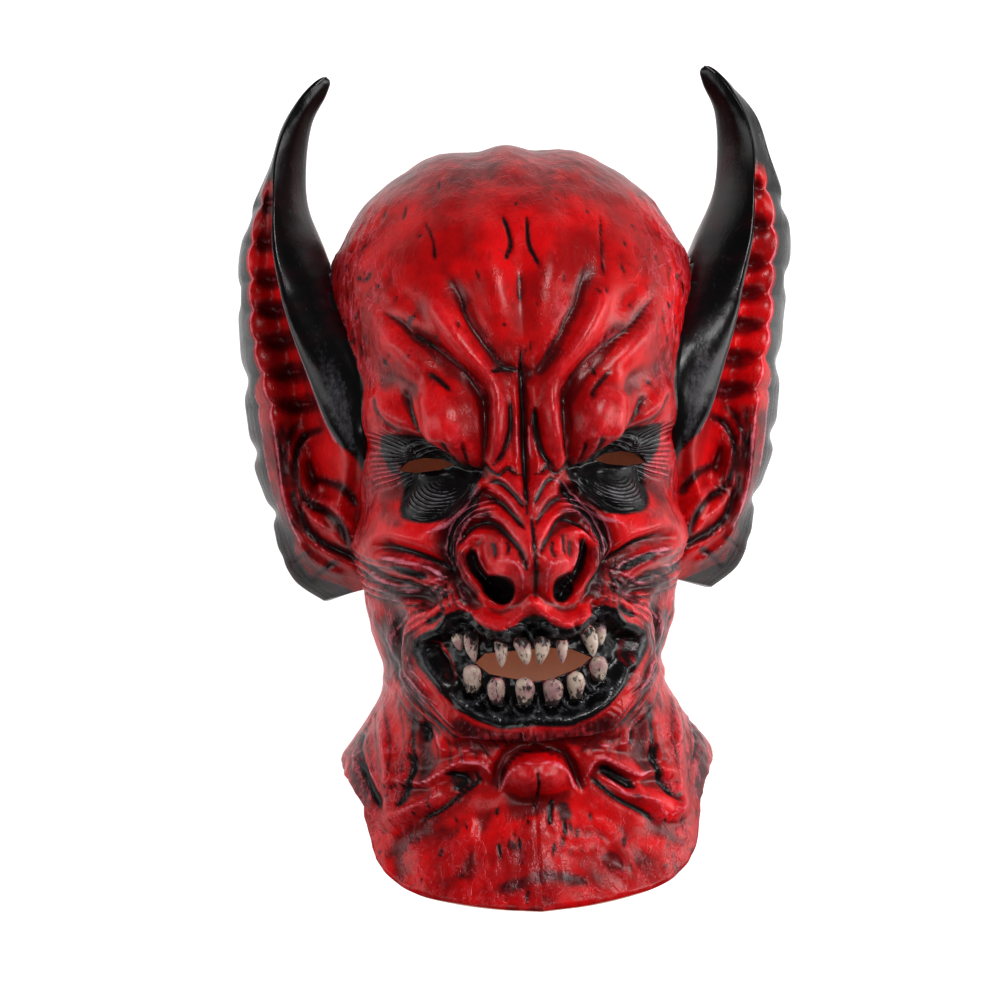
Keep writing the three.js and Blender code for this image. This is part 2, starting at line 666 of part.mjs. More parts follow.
function tooth(x, rootY, tipY, half, lean, sides) {
  const rings = [];
  const rows = [[0, 0.72], [0.3, 1], [0.62, 0.82], [0.88, 0.42], [1, 0.1]];
  const down = tipY - rootY;
  const z = faceDepth(x, (rootY + tipY) / 2) - 0.5;
  for (const [t, wide] of rows) {
    const ring = [];
    for (let k = 0; k < sides; k += 1) {
      const a = (k / sides) * 2 * Math.PI;
      ring.push(new THREE.Vector3(
        x + lean * t + Math.cos(a) * half * wide,
        rootY + down * t,
        z + TOOTH_RAKE * t + Math.sin(a) * half * 0.85 * wide,
      ));
    }
    rings.push(ring);
  }
  return loft(rings);
}

const sides = [sampleSide(1), sampleSide(-1)];
const outerHead = closedHead(sides, "outer", OUTER_TOLERANCE, 0, new THREE.Vector3(0, -182, -10));
const innerHead = closedHead(sides, "inner", INNER_TOLERANCE, 26, new THREE.Vector3(0, -285, 0));

let mask = outerHead.add(ear(1)).add(ear(-1)).subtract(innerHead);
mask = mask.subtract(earHollow(1)).subtract(earHollow(-1));
mask = mask.subtract(prism(MOUTH_GAP, 1, 40, 170));
mask = mask.subtract(prism(EYE_GAP, 1, 20, 150)).subtract(prism(EYE_GAP, -1, 20, 150));
for (const [x, rootY, tipY, half, lean] of [...UPPER_TEETH, ...LOWER_TEETH]) {
  mask = mask.add(tooth(x, rootY, tipY, half, lean, 6));
}

function meshOf(manifold) {
  const data = manifold.getMesh();
  const geometry = new THREE.BufferGeometry();
  const positions = [];
  const step = data.numProp;
  for (let k = 0; k < data.vertProperties.length; k += step) {
    positions.push(data.vertProperties[k], data.vertProperties[k + 1], data.vertProperties[k + 2]);
  }
  geometry.setAttribute("position", new THREE.Float32BufferAttribute(positions, 3));
  geometry.setIndex(Array.from(data.triVerts));
  return mergeVertices(geometry, 1e-4);
}

const geometry = meshOf(mask);
geometry.computeBoundingBox();
const box = geometry.boundingBox;
geometry.translate(-(box.min.x + box.max.x) / 2, -(box.min.y + box.max.y) / 2, -box.min.z);
geometry.computeVertexNormals();

const latex = new THREE.MeshStandardMaterial({ color: 0xc30f16, roughness: 0.5 });
const demonMask = new THREE.Mesh(geometry, latex);
demonMask.name = "demon_mask";

const group = new THREE.Group();
group.name = "demon_mask_group";
group.add(demonMask);

export default group;
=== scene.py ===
"""Painted look of a full-head latex demon mask that lies on its back, and the stage round it."""

import math

import bmesh
import bpy
import numpy as np
from mathutils import Matrix, Vector


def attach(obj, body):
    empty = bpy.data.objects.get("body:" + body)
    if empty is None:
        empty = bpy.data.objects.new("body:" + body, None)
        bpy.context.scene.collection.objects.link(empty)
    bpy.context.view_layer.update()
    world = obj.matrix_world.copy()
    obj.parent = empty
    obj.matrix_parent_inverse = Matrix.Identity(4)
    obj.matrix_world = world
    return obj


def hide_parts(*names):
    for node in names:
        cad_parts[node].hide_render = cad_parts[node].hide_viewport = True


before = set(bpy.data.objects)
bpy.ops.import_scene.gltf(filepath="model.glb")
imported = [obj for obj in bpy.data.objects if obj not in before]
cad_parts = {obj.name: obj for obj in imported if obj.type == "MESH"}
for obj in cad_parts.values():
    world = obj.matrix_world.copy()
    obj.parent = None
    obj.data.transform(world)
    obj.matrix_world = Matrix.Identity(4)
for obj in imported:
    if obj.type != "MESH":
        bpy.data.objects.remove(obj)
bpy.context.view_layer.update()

bl_info = {
    "name": "Demon mask",
    "version": (1, 0, 0),
    "blender": (4, 5, 0),
    "location": "View3D > Sidebar > Mask",
    "description": "Builds a painted full-head latex demon mask and a pale stage for it",
    "category": "Object",
}

# Sizes are in millimetres in the sculptor's frame: X across the face, Y up to the crown, Z out of the face.
MM = 0.001
# Heights of the crown, of the cut edge before it drapes, and of the line where the draping starts.
CROWN_Y = 169.5
CUT_Y = -232.0
NECK_Y = -112.0
# Depth of the head's axis and of the flat at the back of the skull, and the middle of the part's box.
AXIS_Z = -8.0
FLAT_Z = -115.0
MIDDLE_X = 4.778
MIDDLE_Y = -10.574
# Roundness of the head's section before and behind its axis, where 2 is an ellipse.
FRONT_POWER = 2.25
BACK_POWER = 2.1
# Thickness of the latex.
WALL = 2.6

# Half width of the head at each height.
WIDTH = (
    (169.5, 0), (169, 14), (167.5, 30), (164, 44.5), (158.5, 56.5), (150, 68.5), (140, 79), (130, 85.5),
    (120, 91), (110, 96.5), (98, 98.5), (80, 97.5), (55, 94.5), (30, 91), (0, 89), (-40, 85), (-70, 84),
    (-95, 78.5), (-110, 75), (-120, 76.5), (-135, 85), (-146, 93), (-156, 100), (-175, 106), (-205, 112),
    (-240, 116), (-270, 118),
)
# Depth of the smooth face line at each height, without nose, brows and jaw.
FRONT = (
    (169.5, -6), (169, 8), (167.5, 22), (162, 40), (153, 58), (138, 76), (116, 92), (90, 102), (60, 107),
    (30, 108), (0, 102), (-30, 100), (-60, 102), (-100, 106), (-130, 100), (-150, 90), (-175, 86),
    (-195, 90), (-232, 103), (-270, 112),
)
# Depth of the back of the head and neck at each height.
BACK = (
    (169.5, -6), (169, -20), (167.5, -36), (162, -54), (153, -74), (138, -94), (114, -108), (85, -118),
    (60, -120.5), (30, -119), (0, -109), (-40, -95), (-80, -83), (-105, -80), (-130, -90), (-150, -104),
    (-164, -116), (-200, -136), (-270, -150),
)
# Height of the cut edge against the angle round the head in degrees, 0 at the front.
TRIM = (
    (0, -233), (10, -231.5), (16, -230), (24, -227.5), (32, -224.5), (37.5, -221), (42.5, -216),
    (47, -209.5), (50.5, -202), (53.5, -191), (58, -179), (64, -169.5), (73, -162.5), (88, -155),
    (105, -153), (125, -157), (150, -164), (180, -167),
)

# Raised and hollowed forms: x, y, half width, half height, lift, turn in degrees. Mirrored to both sides.
BULGES = (
    (0, -34, 25, 52, 20, 0),  # bridge and body of the nose
    (0, -55, 44, 29, 17, 0),  # flat tip
    (14, -62, 12, 14, 7, 12),  # nostril bulb
    (34, -54, 12, 24, 7, -10),  # wing
    (0, -104, 76, 46, 12, 0),  # muzzle
    (38, 18, 23, 32, 13, -20),  # brow lobe
    (15, 14, 10, 30, 8, 4),  # inner brow lobe
    (70, 27, 22, 22, 6, 20),  # end of the brow
    (52, -6, 34, 25, -17, 5),  # eye socket
    (50, -14, 22, 17, 9, 8),  # bag under the eye
    (68, -43, 34, 30, 11, -20),  # cheek
    (30, 66, 17, 42, 4, -30),  # forehead swelling beside the V
    (14, 96, 14, 50, 4, -8),
    (64, 66, 18, 40, 4, -28),
    (0, 167, 16, 24, 3, 0),  # low bumps of the crown
    (36, 163, 20, 20, 2, 0),
    (0, -162, 23, 18, 15, 0),  # chin ball
    (52, -178, 36, 15, 4, -10),  # collar swelling
    (0, -206, 26, 34, 3, 0),
)
# Lines cut or raised on both sides, broader than the wrinkles: lift, half width, points.
LINES = (
    # centre groove
    (-4, 6, ((0, 58), (0, 30), (0, 6), (0, -8))),
    # inner V groove
    (-2.6, 8, ((38, 104), (30, 81), (25, 71), (19, 61), (12, 51), (4, 46))),
    # outer V groove
    (-2.2, 8, ((74, 88), (58, 70), (46, 60), (33, 50), (26, 43), (21.5, 33))),
    # between the brow lobes
    (-3, 4.2, ((21, 35), (19.5, 22), (20, 9), (22, 0))),
    # under the brow
    (-5, 7, ((80, 13), (70, 13), (60, 14), (52, 11), (46, 5), (40, 0), (32, -4), (24, -5))),
    # nose folds
    (-5, 6, ((5, -47), (9, -39), (14, -33), (22, -30), (31, -32), (35, -38))),
    (-4, 6, ((6, -29), (11, -22), (18, -18), (24, -16))),
    (-6, 8, ((14, -10), (21, -16), (30, -24), (38, -32), (41, -41), (39, -50), (34, -60), (30, -74))),
    # nostril
    (-9, 7, ((29, -44), (28, -51), (25, -57), (20, -63), (14, -69))),
    # fold from nose to cheek
    (-6, 8, ((36, -62), (41, -57), (48, -51), (56, -46), (66, -42))),
    (-5, 8, ((84, -50), (72, -57), (62, -63), (54, -70))),
    (-4, 8, ((76, -66), (70, -80), (69, -92), (69, -104))),
    # fold round the mouth
    (2.4, 8, ((64, -83), (66, -92), (63, -105), (57, -116), (50, -128), (40, -138))),
    # lower lip
    (2.4, 7, ((36, -135), (26, -140), (14, -140), (0, -141))),
    # upper lip
    (4, 6, ((55, -80), (44, -74), (34, -70), (28, -76), (22, -82), (15, -84), (9, -81), (0, -76))),
    # round the chin ball
    (-4, 5, ((24, -170), (20, -161), (15, -153), (8, -149), (0, -148))),
    # collar ridges
    (3.6, 6, ((22, -167), (28, -156), (36, -155), (46, -160), (54, -165), (68, -165))),
    (3.6, 6, ((48, -170), (54, -177), (62, -181), (74, -187))),
    # cord of the neck
    (2.4, 7, ((77, -126), (77, -146), (76, -165), (76, -184))),
    (-3, 10, ((52, -128), (57, -144), (60, -166))),
)
# Right half of the black lips' outline, how far the mouth is sunk in it, and over what width it slopes down.
LIPS = (
    (0, -80), (5, -82), (9, -85.5), (15, -88), (21, -86.5), (26, -83), (30, -78), (36, -75.5), (44, -78),
    (49, -85), (55, -87), (60.5, -91), (60.5, -97), (57.5, -103.5), (51.5, -111), (45, -120),
    (37.5, -128.5), (29, -133), (18, -136.5), (8, -136), (0, -135),
)
LIP_SINK = 11.0
LIP_SLOPE = 9.0
# Gap between the tooth rows, and the right eye slit. Each is cut through over a range of depth.
MOUTH_GAP = (
    (-30, -103.5), (-25, -98.5), (-9, -97.5), (7, -96.5), (20, -98), (31, -103), (25, -107.5),
    (16, -110.8), (8, -113.5), (0, -114), (-12, -112), (-23, -109.5),
)
MOUTH_GAP_Z = (40, 170)
EYE_GAP = ((65.5, -2), (60, 2.6), (52, 4.2), (43, 3.2), (37, 0), (44, -2.4), (56, -3.6))
EYE_GAP_Z = (20, 150)
# Teeth: x, y of the root, y of the tip, half width, lean of the tip.
UPPER_TEETH = (
    (-38.5, -88, -97, 3.4, 1), (-31.5, -87, -103, 4, 1), (-17, -91, -106, 3.6, 0),
    (-7, -91, -105.2, 4.4, 3), (4.5, -90.5, -105.2, 4.2, -2), (14, -90, -105, 3.4, 0.5),
    (28, -86, -102.5, 4.5, 3), (36, -85, -96.5, 3, 0),
)
LOWER_TEETH = (
    (-32, -119, -104, 5.2, 0), (-19.3, -125.5, -111, 4.8, 0), (-5.5, -126, -111.5, 5.2, 0),
    (9, -126.5, -112.5, 5.4, 0), (21.2, -124, -109.2, 4.9, 0), (34, -115.5, -102, 5.2, 0),
)

# Lines over the face. Side is 1 for the viewer's right, -1 for the left and 0 for both, all with X counted
# outward, and 2 for points as they stand.
# Cuts: side, depth, half width, half width of the black wash in them, points.
CUTS = (
    # high on the forehead
    (-1, 1.4, 2.0, 0.8, ((7, 129), (5, 122), (4, 113), (8, 105))),
    (1, 1.4, 2.0, 0.8, ((5.5, 128), (5.5, 114), (8.5, 105), (10, 100))),
    (-1, 0.8, 1.6, 0.5, ((48, 129), (44, 118), (43.5, 107))),
    (1, 0.8, 1.6, 0.5, ((45, 128), (44, 112), (44, 95))),
    (2, 0.6, 1.4, 0.7, ((0, 97), (-1, 93))),
    (2, 0.6, 1.4, 0.7, ((-1, 88), (-0.5, 84))),
    # inner V
    (-1, 2.0, 2.6, 0.45, (
        (36, 95), (32, 88), (30, 79), (27, 72), (24, 67), (20, 61), (16, 56), (13, 51), (5, 48),
    )),
    (1, 2.0, 2.6, 0.45, (
        (34, 98), (31.5, 90), (29, 82), (26, 77), (22, 71), (20, 66), (15, 60), (12, 54), (8, 47),
    )),
    # outer V, down between the brow lobes
    (-1, 2.4, 2.8, 0.4, (
        (70, 81), (61, 74), (55, 66), (44, 59), (39, 55), (32, 49), (28, 43), (24, 36), (22, 30), (21, 21),
        (21, 12), (23, 3),
    )),
    (1, 2.4, 2.8, 0.4, (
        (71, 86), (61, 73), (55, 67), (44, 60), (33, 52), (27, 45), (23, 37), (20, 28), (19, 19), (19, 8),
        (21, 1),
    )),
    (-1, 1.6, 3.0, 0.9, ((56, 69), (50, 64), (46, 61))),
    # second V
    (-1, 1.6, 2.4, 0.8, ((48, 48), (42, 43), (37, 38))),
    (1, 1.6, 2.4, 0.8, ((44, 46), (34, 36), (32, 31))),
    # centre line
    (2, 3.0, 3.4, 1.1, ((-1.5, 58), (-1.5, 40), (-1.5, 20), (-1.5, 4), (-1.5, -10), (-1.5, -27))),
    (2, 1.6, 3.0, 1.0, ((-17, 47), (-10, 48.5), (-3, 48))),
    # between the inner lobes
    (-1, 2.6, 3.0, 1.1, ((8, 32), (8, 20), (10, 12), (13, 4), (17, -1))),
    (1, 2.6, 3.0, 1.1, ((5, 28), (5, 17), (7, 7), (10, 1), (14, -3))),
    (-1, 2.6, 3.0, 1.0, ((38, 15), (38.5, 8), (39, 2))),
    (1, 2.6, 3.0, 1.0, ((34, 15), (36, 4), (37, 0))),
    (-1, 1.4, 2.2, 0.6, ((30, 14), (30, 5), (31, -1))),
    (1, 1.4, 2.2, 0.6, ((28, 12), (28, 4), (28, -2))),
    # outer end of the brow
    (-1, 2.6, 3.6, 0.8, ((61, 40), (57, 30), (52, 17), (48, 8))),
    (1, 2.6, 3.6, 0.8, ((62, 33), (57, 25), (52, 17.5), (47.5, 10), (44.5, 4))),
    (-1, 1.6, 2.6, 0.5, ((73, 38), (70, 28), (62, 18))),
    (1, 1.6, 2.6, 0.5, ((72, 34), (67, 24), (60, 17))),
    (0, 2.6, 2.2, 0.7, (
        (33, 1), (30, -3), (25, -4.5), (21.5, -1), (18.5, -4), (14, -6), (10, -2.5), (7, -5), (3, -6),
    )),
    # folds of the nose
    (-1, 2.4, 2.6, 1.0, ((20, -10), (15, -9.5), (10, -13), (6, -17.5), (3, -23))),
    (1, 2.4, 2.6, 1.0, ((14, -9), (9, -10), (5, -15), (2, -21))),
    (-1, 3.0, 3.0, 0.9, ((22, -18), (18, -19), (13, -21.5), (8.5, -26), (5.5, -31), (3, -36))),
    (1, 3.0, 3.0, 0.9, ((18, -19), (12, -20.5), (8, -23), (4.5, -28), (2, -34))),
    (-1, 3.2, 3.2, 1.0, (
        (37, -44), (36, -37), (30.5, -33), (24.5, -31), (18, -31.5), (13.5, -35), (9, -41), (5.5, -47.5),
        (3.5, -53),
    )),
    (1, 3.2, 3.2, 1.0, (
        (33, -44), (31, -37), (25, -32.5), (18, -30.5), (13, -32), (9, -38), (4.5, -46), (3, -52),
    )),
    (-1, 1.6, 1.8, 0.8, ((18, -42), (16.5, -45), (16, -50))),
    (-1, 1.4, 1.6, 0.6, ((11, -42), (10, -46), (10.5, -50))),
    (-1, 1.4, 1.8, 0.7, ((6, -49), (4, -54), (3, -59))),
    (1, 1.6, 1.8, 0.8, ((15, -39), (14, -44), (14, -50))),
    (1, 1.6, 1.8, 0.8, ((19, -42), (17.5, -46), (17, -51))),
    (1, 1.4, 1.6, 0.6, ((9, -43), (8, -48), (9, -52))),
    (2, 2.0, 2.4, 0.8, ((0.5, -28), (0.5, -44), (1, -56), (1, -74))),
    # beside the nose
    (-1, 3.2, 5.0, 1.7, (
        (26, -14), (31, -22), (35, -27.5), (39.5, -31), (42, -36), (42, -42), (41, -49), (37, -56),
    )),
    (1, 3.2, 5.4, 2.1, (
        (16, -10), (21, -16.5), (28, -24), (33.5, -28.5), (39, -34), (40, -40), (37.5, -46), (34, -54),
    )),
    # nostril slots
    (-1, 5.0, 4.4, 2.2, ((29.5, -44), (29.5, -50), (28.5, -55), (24, -60.5), (19, -65.5), (13, -68))),
    (1, 5.0, 4.4, 2.2, ((28, -41), (27, -48), (25.5, -54.5), (22, -60), (17.5, -64.5), (13, -67))),
    # cheeks
    (-1, 2.4, 3.2, 1.1, ((68, -41), (65, -42.5), (58, -45), (51, -49), (45, -53), (40, -58))),
    (1, 2.4, 3.2, 1.1, ((64, -39), (60, -41.5), (53, -44), (47, -49), (41, -54), (34, -60), (26, -67))),
    (-1, 1.8, 3.0, 1.8, ((65, -53), (59, -55.5), (52, -58.5))),
    (1, 1.8, 3.0, 1.6, ((62, -50), (56, -53), (48, -58))),
    (-1, 1.6, 2.2, 0.8, ((86, -44), (80, -50.5), (74, -56), (67, -60), (60, -62), (51, -67))),
    (1, 1.6, 2.2, 0.8, ((88, -50), (80, -56), (72.5, -60), (63, -62.5), (52, -67))),
    (0, 1.4, 2.0, 0.6, ((84, -52), (78, -59), (70, -65), (61, -69))),
    # folds beside the mouth
    (-1, 2.4, 2.6, 1.0, ((56, -92), (51, -99.5), (47, -105.5), (44.5, -112), (43, -119), (39, -127))),
    (1, 2.4, 2.6, 1.0, ((58, -92), (53.5, -100), (50.5, -105), (49.5, -112), (47, -118))),
    (0, 2.0, 2.6, 0.9, ((71, -80), (70, -92), (67, -104), (62, -114), (56, -122))),
    (0, 1.4, 2.0, 0.6, ((76, -78), (76, -92), (72, -106), (66, -118))),
    (0, 1.6, 2.2, 0.7, ((62, -120), (55, -130), (46, -137), (38, -142))),
    # corner pits
    (-1, 2.4, 3.6, 2.4, ((58, -134), (57, -140), (57, -145))),
    (1, 2.4, 3.0, 1.4, ((52, -142), (51.5, -150))),
    (0, 2.0, 3.0, 1.4, ((44, -76), (49, -80), (54, -82))),
    # round the chin
    (2, 2.2, 3.0, 0.45, ((-21, -171), (-18, -165.5), (-16, -160), (-13, -155), (-9, -151.5), (0, -150))),
    (2, 2.2, 3.0, 0.45, ((0, -150), (9, -151), (15.5, -154), (19, -160.5), (21.5, -166), (24, -172))),
    (2, 1.2, 2.0, 0.6, ((0, -176), (0.5, -166), (0, -158))),
    # collar
    (-1, 3.2, 4.4, 1.8, ((46, -161), (40, -162), (36, -165), (43, -170))),
    (1, 3.2, 4.4, 2.4, ((34, -160), (37, -163), (44, -168), (50, -172))),
    (-1, 2.2, 3.0, 1.2, ((27, -163), (33, -168), (40, -173), (48, -180), (60, -186))),
    (1, 2.2, 3.0, 1.2, ((28, -165), (34, -171), (42, -178), (52, -184), (62, -191))),
    (-1, 2.4, 4.2, 2.0, ((91, -155), (88, -163), (84, -172), (81, -180))),
    (0, 2.0, 3.4, 1.4, ((66, -150), (64, -158), (66, -170), (72, -180))),
    (0, 1.6, 2.4, 0.8, ((62, -130), (64, -145), (63, -160))),
    (0, 1.6, 2.4, 0.8, ((88, -140), (90, -150), (86, -162))),
    # chest
    (1, 1.2, 2.0, 1.2, ((8, -176), (6.5, -183), (6, -190))),
    (1, 1.0, 1.8, 0.9, ((14, -188), (14, -195))),
    (1, 1.0, 1.8, 0.8, ((8, -199), (7, -206))),
    (-1, 1.0, 1.8, 0.8, ((21, -198), (20, -206))),
    (-1, 1.0, 1.8, 0.8, ((10, -196), (10, -203))),
    (-1, 1.0, 1.8, 0.8, ((7, -222), (8, -229))),
    (0, 0.5, 5.0, 0, ((22, -178), (30, -192), (36, -206), (38, -222))),
    (0, 0.4, 5.0, 0, ((34, -184), (48, -198), (58, -212))),
    (0, 0.4, 5.0, 0, ((60, -192), (70, -200), (80, -204))),
    (0, 0.5, 4.0, 0, ((6, -182), (10, -200), (12, -222))),
)
# Ridges: side, height, half width, half width of the pale line on them, dry brushing and painted highlight,
# points.
RIDGES = (
    (2, 0.9, 1.2, 0.25, ((-3.6, 53), (-3.4, 42))),
    (2, 0.9, 1.2, 0.25, ((-0.4, 53), (-0.5, 42))),
    (-1, 1.4, 2.0, 0.5, ((5, 23), (5, 14), (5, 4))),
    (1, 1.4, 2.0, 0.5, ((1.7, 18), (1.5, 10), (2, 3))),
    # lobes of the brow
    (-1, 2.6, 6.5, 0, ((48, 92), (40, 74), (31, 60), (20, 46), (14.5, 32), (14, 18), (16, 4))),
    (1, 2.6, 6.5, 0, ((46, 92), (38, 74), (29, 60), (17, 45), (12.5, 32), (12.5, 18), (15, 3))),
    (-1, 2.8, 10.0, 0, ((68, 72), (56, 55), (46, 40), (38, 24), (34, 6))),
    (1, 2.8, 10.5, 0, ((66, 72), (53, 55), (42, 40), (32, 24), (29, 5))),
    (-1, 2.2, 5.0, 0, ((50, 38), (46, 26), (44, 12))),
    (1, 2.2, 5.0, 0, ((48, 36), (44, 24), (42, 10))),
    (0, 2.2, 5.5, 0, ((76, 40), (66, 28), (57, 20))),
    # socket edge
    (-1, 1.4, 3.2, 1.1, (
        (24, -10), (29, -17), (31.5, -21), (36.5, -25.5), (41, -29.5), (45.5, -33), (51, -36),
    )),
    (1, 1.4, 3.2, 1.1, ((12, -9), (19, -12.5), (24.5, -18), (31, -24), (37.5, -29), (48.5, -34))),
    # lids
    (0, 1.6, 2.0, 0.2, ((67, 3), (64, 8), (59.5, 10), (54.5, 9.5), (48, 7))),
    (0, 1.2, 1.6, 0, ((63, 2), (59.5, 5.5), (54, 6.5))),
    (0, 1.6, 2.2, 0.3, ((36, -5), (44, -5.5), (52, -6.5), (60, -6), (66, -3))),
    # folds of the nose
    (-1, 1.8, 2.6, 0.3, ((16, -6), (10.5, -9), (7, -13), (4, -17.5), (2, -22))),
    (1, 1.8, 2.6, 0.3, ((9, -6), (6, -11), (3, -16.5), (1.5, -20))),
    (-1, 2.2, 3.0, 0.35, ((22, -14), (16, -15), (11.5, -17.5), (8, -22.5), (5, -28))),
    (1, 2.2, 3.0, 0.35, ((17, -15), (14, -16.5), (8.5, -19), (5, -24.5), (3, -30))),
    (-1, 2.4, 2.8, 0.4, (
        (40.5, -42), (39.5, -36), (36.5, -31.5), (30.5, -28.5), (24, -27.5), (17, -28), (12.5, -31),
        (9, -36.5), (5, -43.5),
    )),
    (1, 2.4, 2.8, 0.4, (
        (34, -44), (35, -36), (31.5, -30.5), (25, -26.5), (17.5, -27), (12, -29), (8, -34.5), (5, -40),
        (2.5, -47),
    )),
    (-1, 0.8, 1.2, 0.3, ((40, -39), (38, -33), (33, -28), (30, -23))),
    (0, 1.8, 3.6, 0.4, ((33, -42), (29, -38), (24, -37), (20, -40))),
    (0, 1.6, 3.0, 0.3, ((22, -41), (21, -48), (19, -54))),
    (0, 1.6, 3.0, 0.3, ((13, -40), (12.5, -46), (13, -51))),
    # rim of the nostril
    (-1, 1.8, 2.8, 0, ((32, -43), (35, -49), (34.5, -57), (31, -64), (25.5, -70), (19, -74.5))),
    (1, 1.8, 2.8, 0, ((30, -40), (32.5, -47), (32, -55), (28, -62.5), (23, -69), (16.5, -73.5))),
    (-1, 1.8, 2.6, 0.6, ((26, -44), (24.5, -51), (21.5, -56.5), (18, -58))),
    (1, 1.8, 2.6, 0.6, ((24, -42), (22.5, -49), (20, -54), (17.5, -56))),
    # ball of the tip
    (-1, 2.6, 4.6, 0.5, ((17.5, -54), (12, -52), (7, -55), (4.5, -62), (5, -70))),
    (1, 2.6, 4.6, 0.5, ((17, -55), (12, -53), (7.5, -56), (5.5, -62), (6, -70))),
    # cheeks
    (0, 1.4, 2.6, 0.8, ((69, -47), (60, -50), (52, -53), (46, -58))),
    (0, 1.4, 2.4, 0.7, ((84, -53), (75, -58.5), (66, -63.5), (57, -65.5))),
    # round the mouth
    (-1, 1.8, 3.0, 0.3, (
        (58, -83), (64, -85), (65.5, -92.5), (63.5, -101.5), (60, -109.5), (55, -117), (47, -126),
    )),
    (1, 1.8, 3.0, 0.3, (
        (58, -80), (64, -82.5), (67.5, -90), (66.5, -97), (63, -105.5), (58.5, -113), (50, -127),
    )),
    (0, 1.6, 2.6, 0.35, ((73, -82), (73, -94), (70, -104), (65, -113), (59, -121))),
    (0, 1.4, 2.6, 0.3, ((79, -76), (80, -92), (77, -108), (72, -120))),
    (-1, 1.6, 3.0, 0.2, (
        (40, -69), (36, -73.5), (30, -77.5), (26, -81.5), (22, -84), (16, -85), (11, -84), (6, -80),
        (0, -77.5),
    )),
    (1, 1.6, 3.0, 0.2, (
        (0, -77.5), (7, -82), (13, -85), (18, -85), (23, -82), (27, -77.5), (30, -73), (36, -73),
        (44, -75.5),
    )),
    (0, 1.2, 2.6, 0.2, ((46, -137), (38, -141), (28, -141.5), (16, -141), (0, -143))),
    (0, 0.3, 5.0, 0, ((14, -184), (20, -198), (24, -216))),
    (0, 0.3, 5.0, 0, ((30, -184), (42, -200), (48, -216))),
    (0, 0.3, 5.0, 0, ((48, -188), (60, -198), (70, -206))),
    # chin and collar
    (2, 1.4, 2.4, 0.6, ((-19, -172), (-14, -160), (-7, -155), (0, -154))),
    (2, 1.4, 2.4, 0.6, ((0, -154), (8, -155), (16, -161), (20, -172))),
    (-1, 2.0, 2.6, 0.7, (
        (72, -163), (69.5, -165), (62, -166), (56, -165), (51, -162), (46, -158.5), (41, -155.5),
        (35, -154.5), (28.5, -155.5), (25, -158), (22.5, -164),
    )),
    (1, 2.0, 2.6, 0.7, (
        (24.5, -168), (26, -165), (28, -160), (30.5, -156), (35, -155), (39, -157.5), (44, -161),
        (48.5, -163.5), (54.5, -165.5), (62, -164),
    )),
    (-1, 2.0, 2.6, 0.7, ((75, -188), (68.5, -182), (63.5, -179.5), (57.5, -177), (52.5, -173), (50, -168))),
    (1, 2.0, 2.6, 0.7, (
        (36, -165), (41, -170.5), (46.5, -176), (53, -178), (59, -180.5), (64, -186), (69, -188.5),
        (73, -187.5), (78, -181),
    )),
    (-1, 1.2, 2.4, 0.5, ((100, -152), (89, -155.5), (84, -163), (80, -170))),
    (0, 1.0, 2.6, 0.15, ((75, -124), (77, -145), (76, -165), (78, -184))),
    (0, 1.4, 3.6, 0.6, ((52, -140), (48, -148), (40, -150), (32, -148))),
)
# Sheaves of fine wrinkles between two lines: side, count, depth, half width, half width of wash, first, last.
SHEAVES = (
    (
        0, 6, 1.1, 1.6, 0.4,
        ((90, -38), (80, -46), (70, -49), (60, -50)), ((88, -62), (78, -70), (66, -73), (56, -73)),
    ),
    (0, 5, 1.1, 1.5, 0.4, ((62, -66), (52, -64), (42, -58)), ((60, -78), (50, -74), (42, -67))),
    (0, 5, 1.1, 1.5, 0.4, ((36, -62), (33, -68), (30, -73)), ((48, -66), (45, -72), (43, -76))),
    (0, 6, 0.9, 1.6, 0.2, ((86, -72), (82, -90), (78, -112)), ((68, -84), (69, -98), (63, -114))),
    (0, 5, 1.0, 1.6, 0.35, ((70, -120), (62, -132), (52, -142)), ((58, -116), (50, -128), (40, -138))),
    (0, 5, 0.7, 1.8, 0.1, ((92, -132), (94, -146), (90, -160)), ((70, -126), (68, -144), (70, -162))),
    (0, 5, 0.7, 1.6, 0.1, ((30, -140), (28, -146), (24, -152)), ((52, -140), (50, -148), (50, -156))),
    (2, 7, 0.8, 1.4, 0.25, ((-24, -139), (-22, -143), (-20, -148)), ((24, -139), (22, -143), (20, -148))),
    (0, 4, 0.8, 1.4, 0.3, ((20, -86), (19, -90), (17, -94)), ((44, -80), (42, -85), (39, -90))),
)
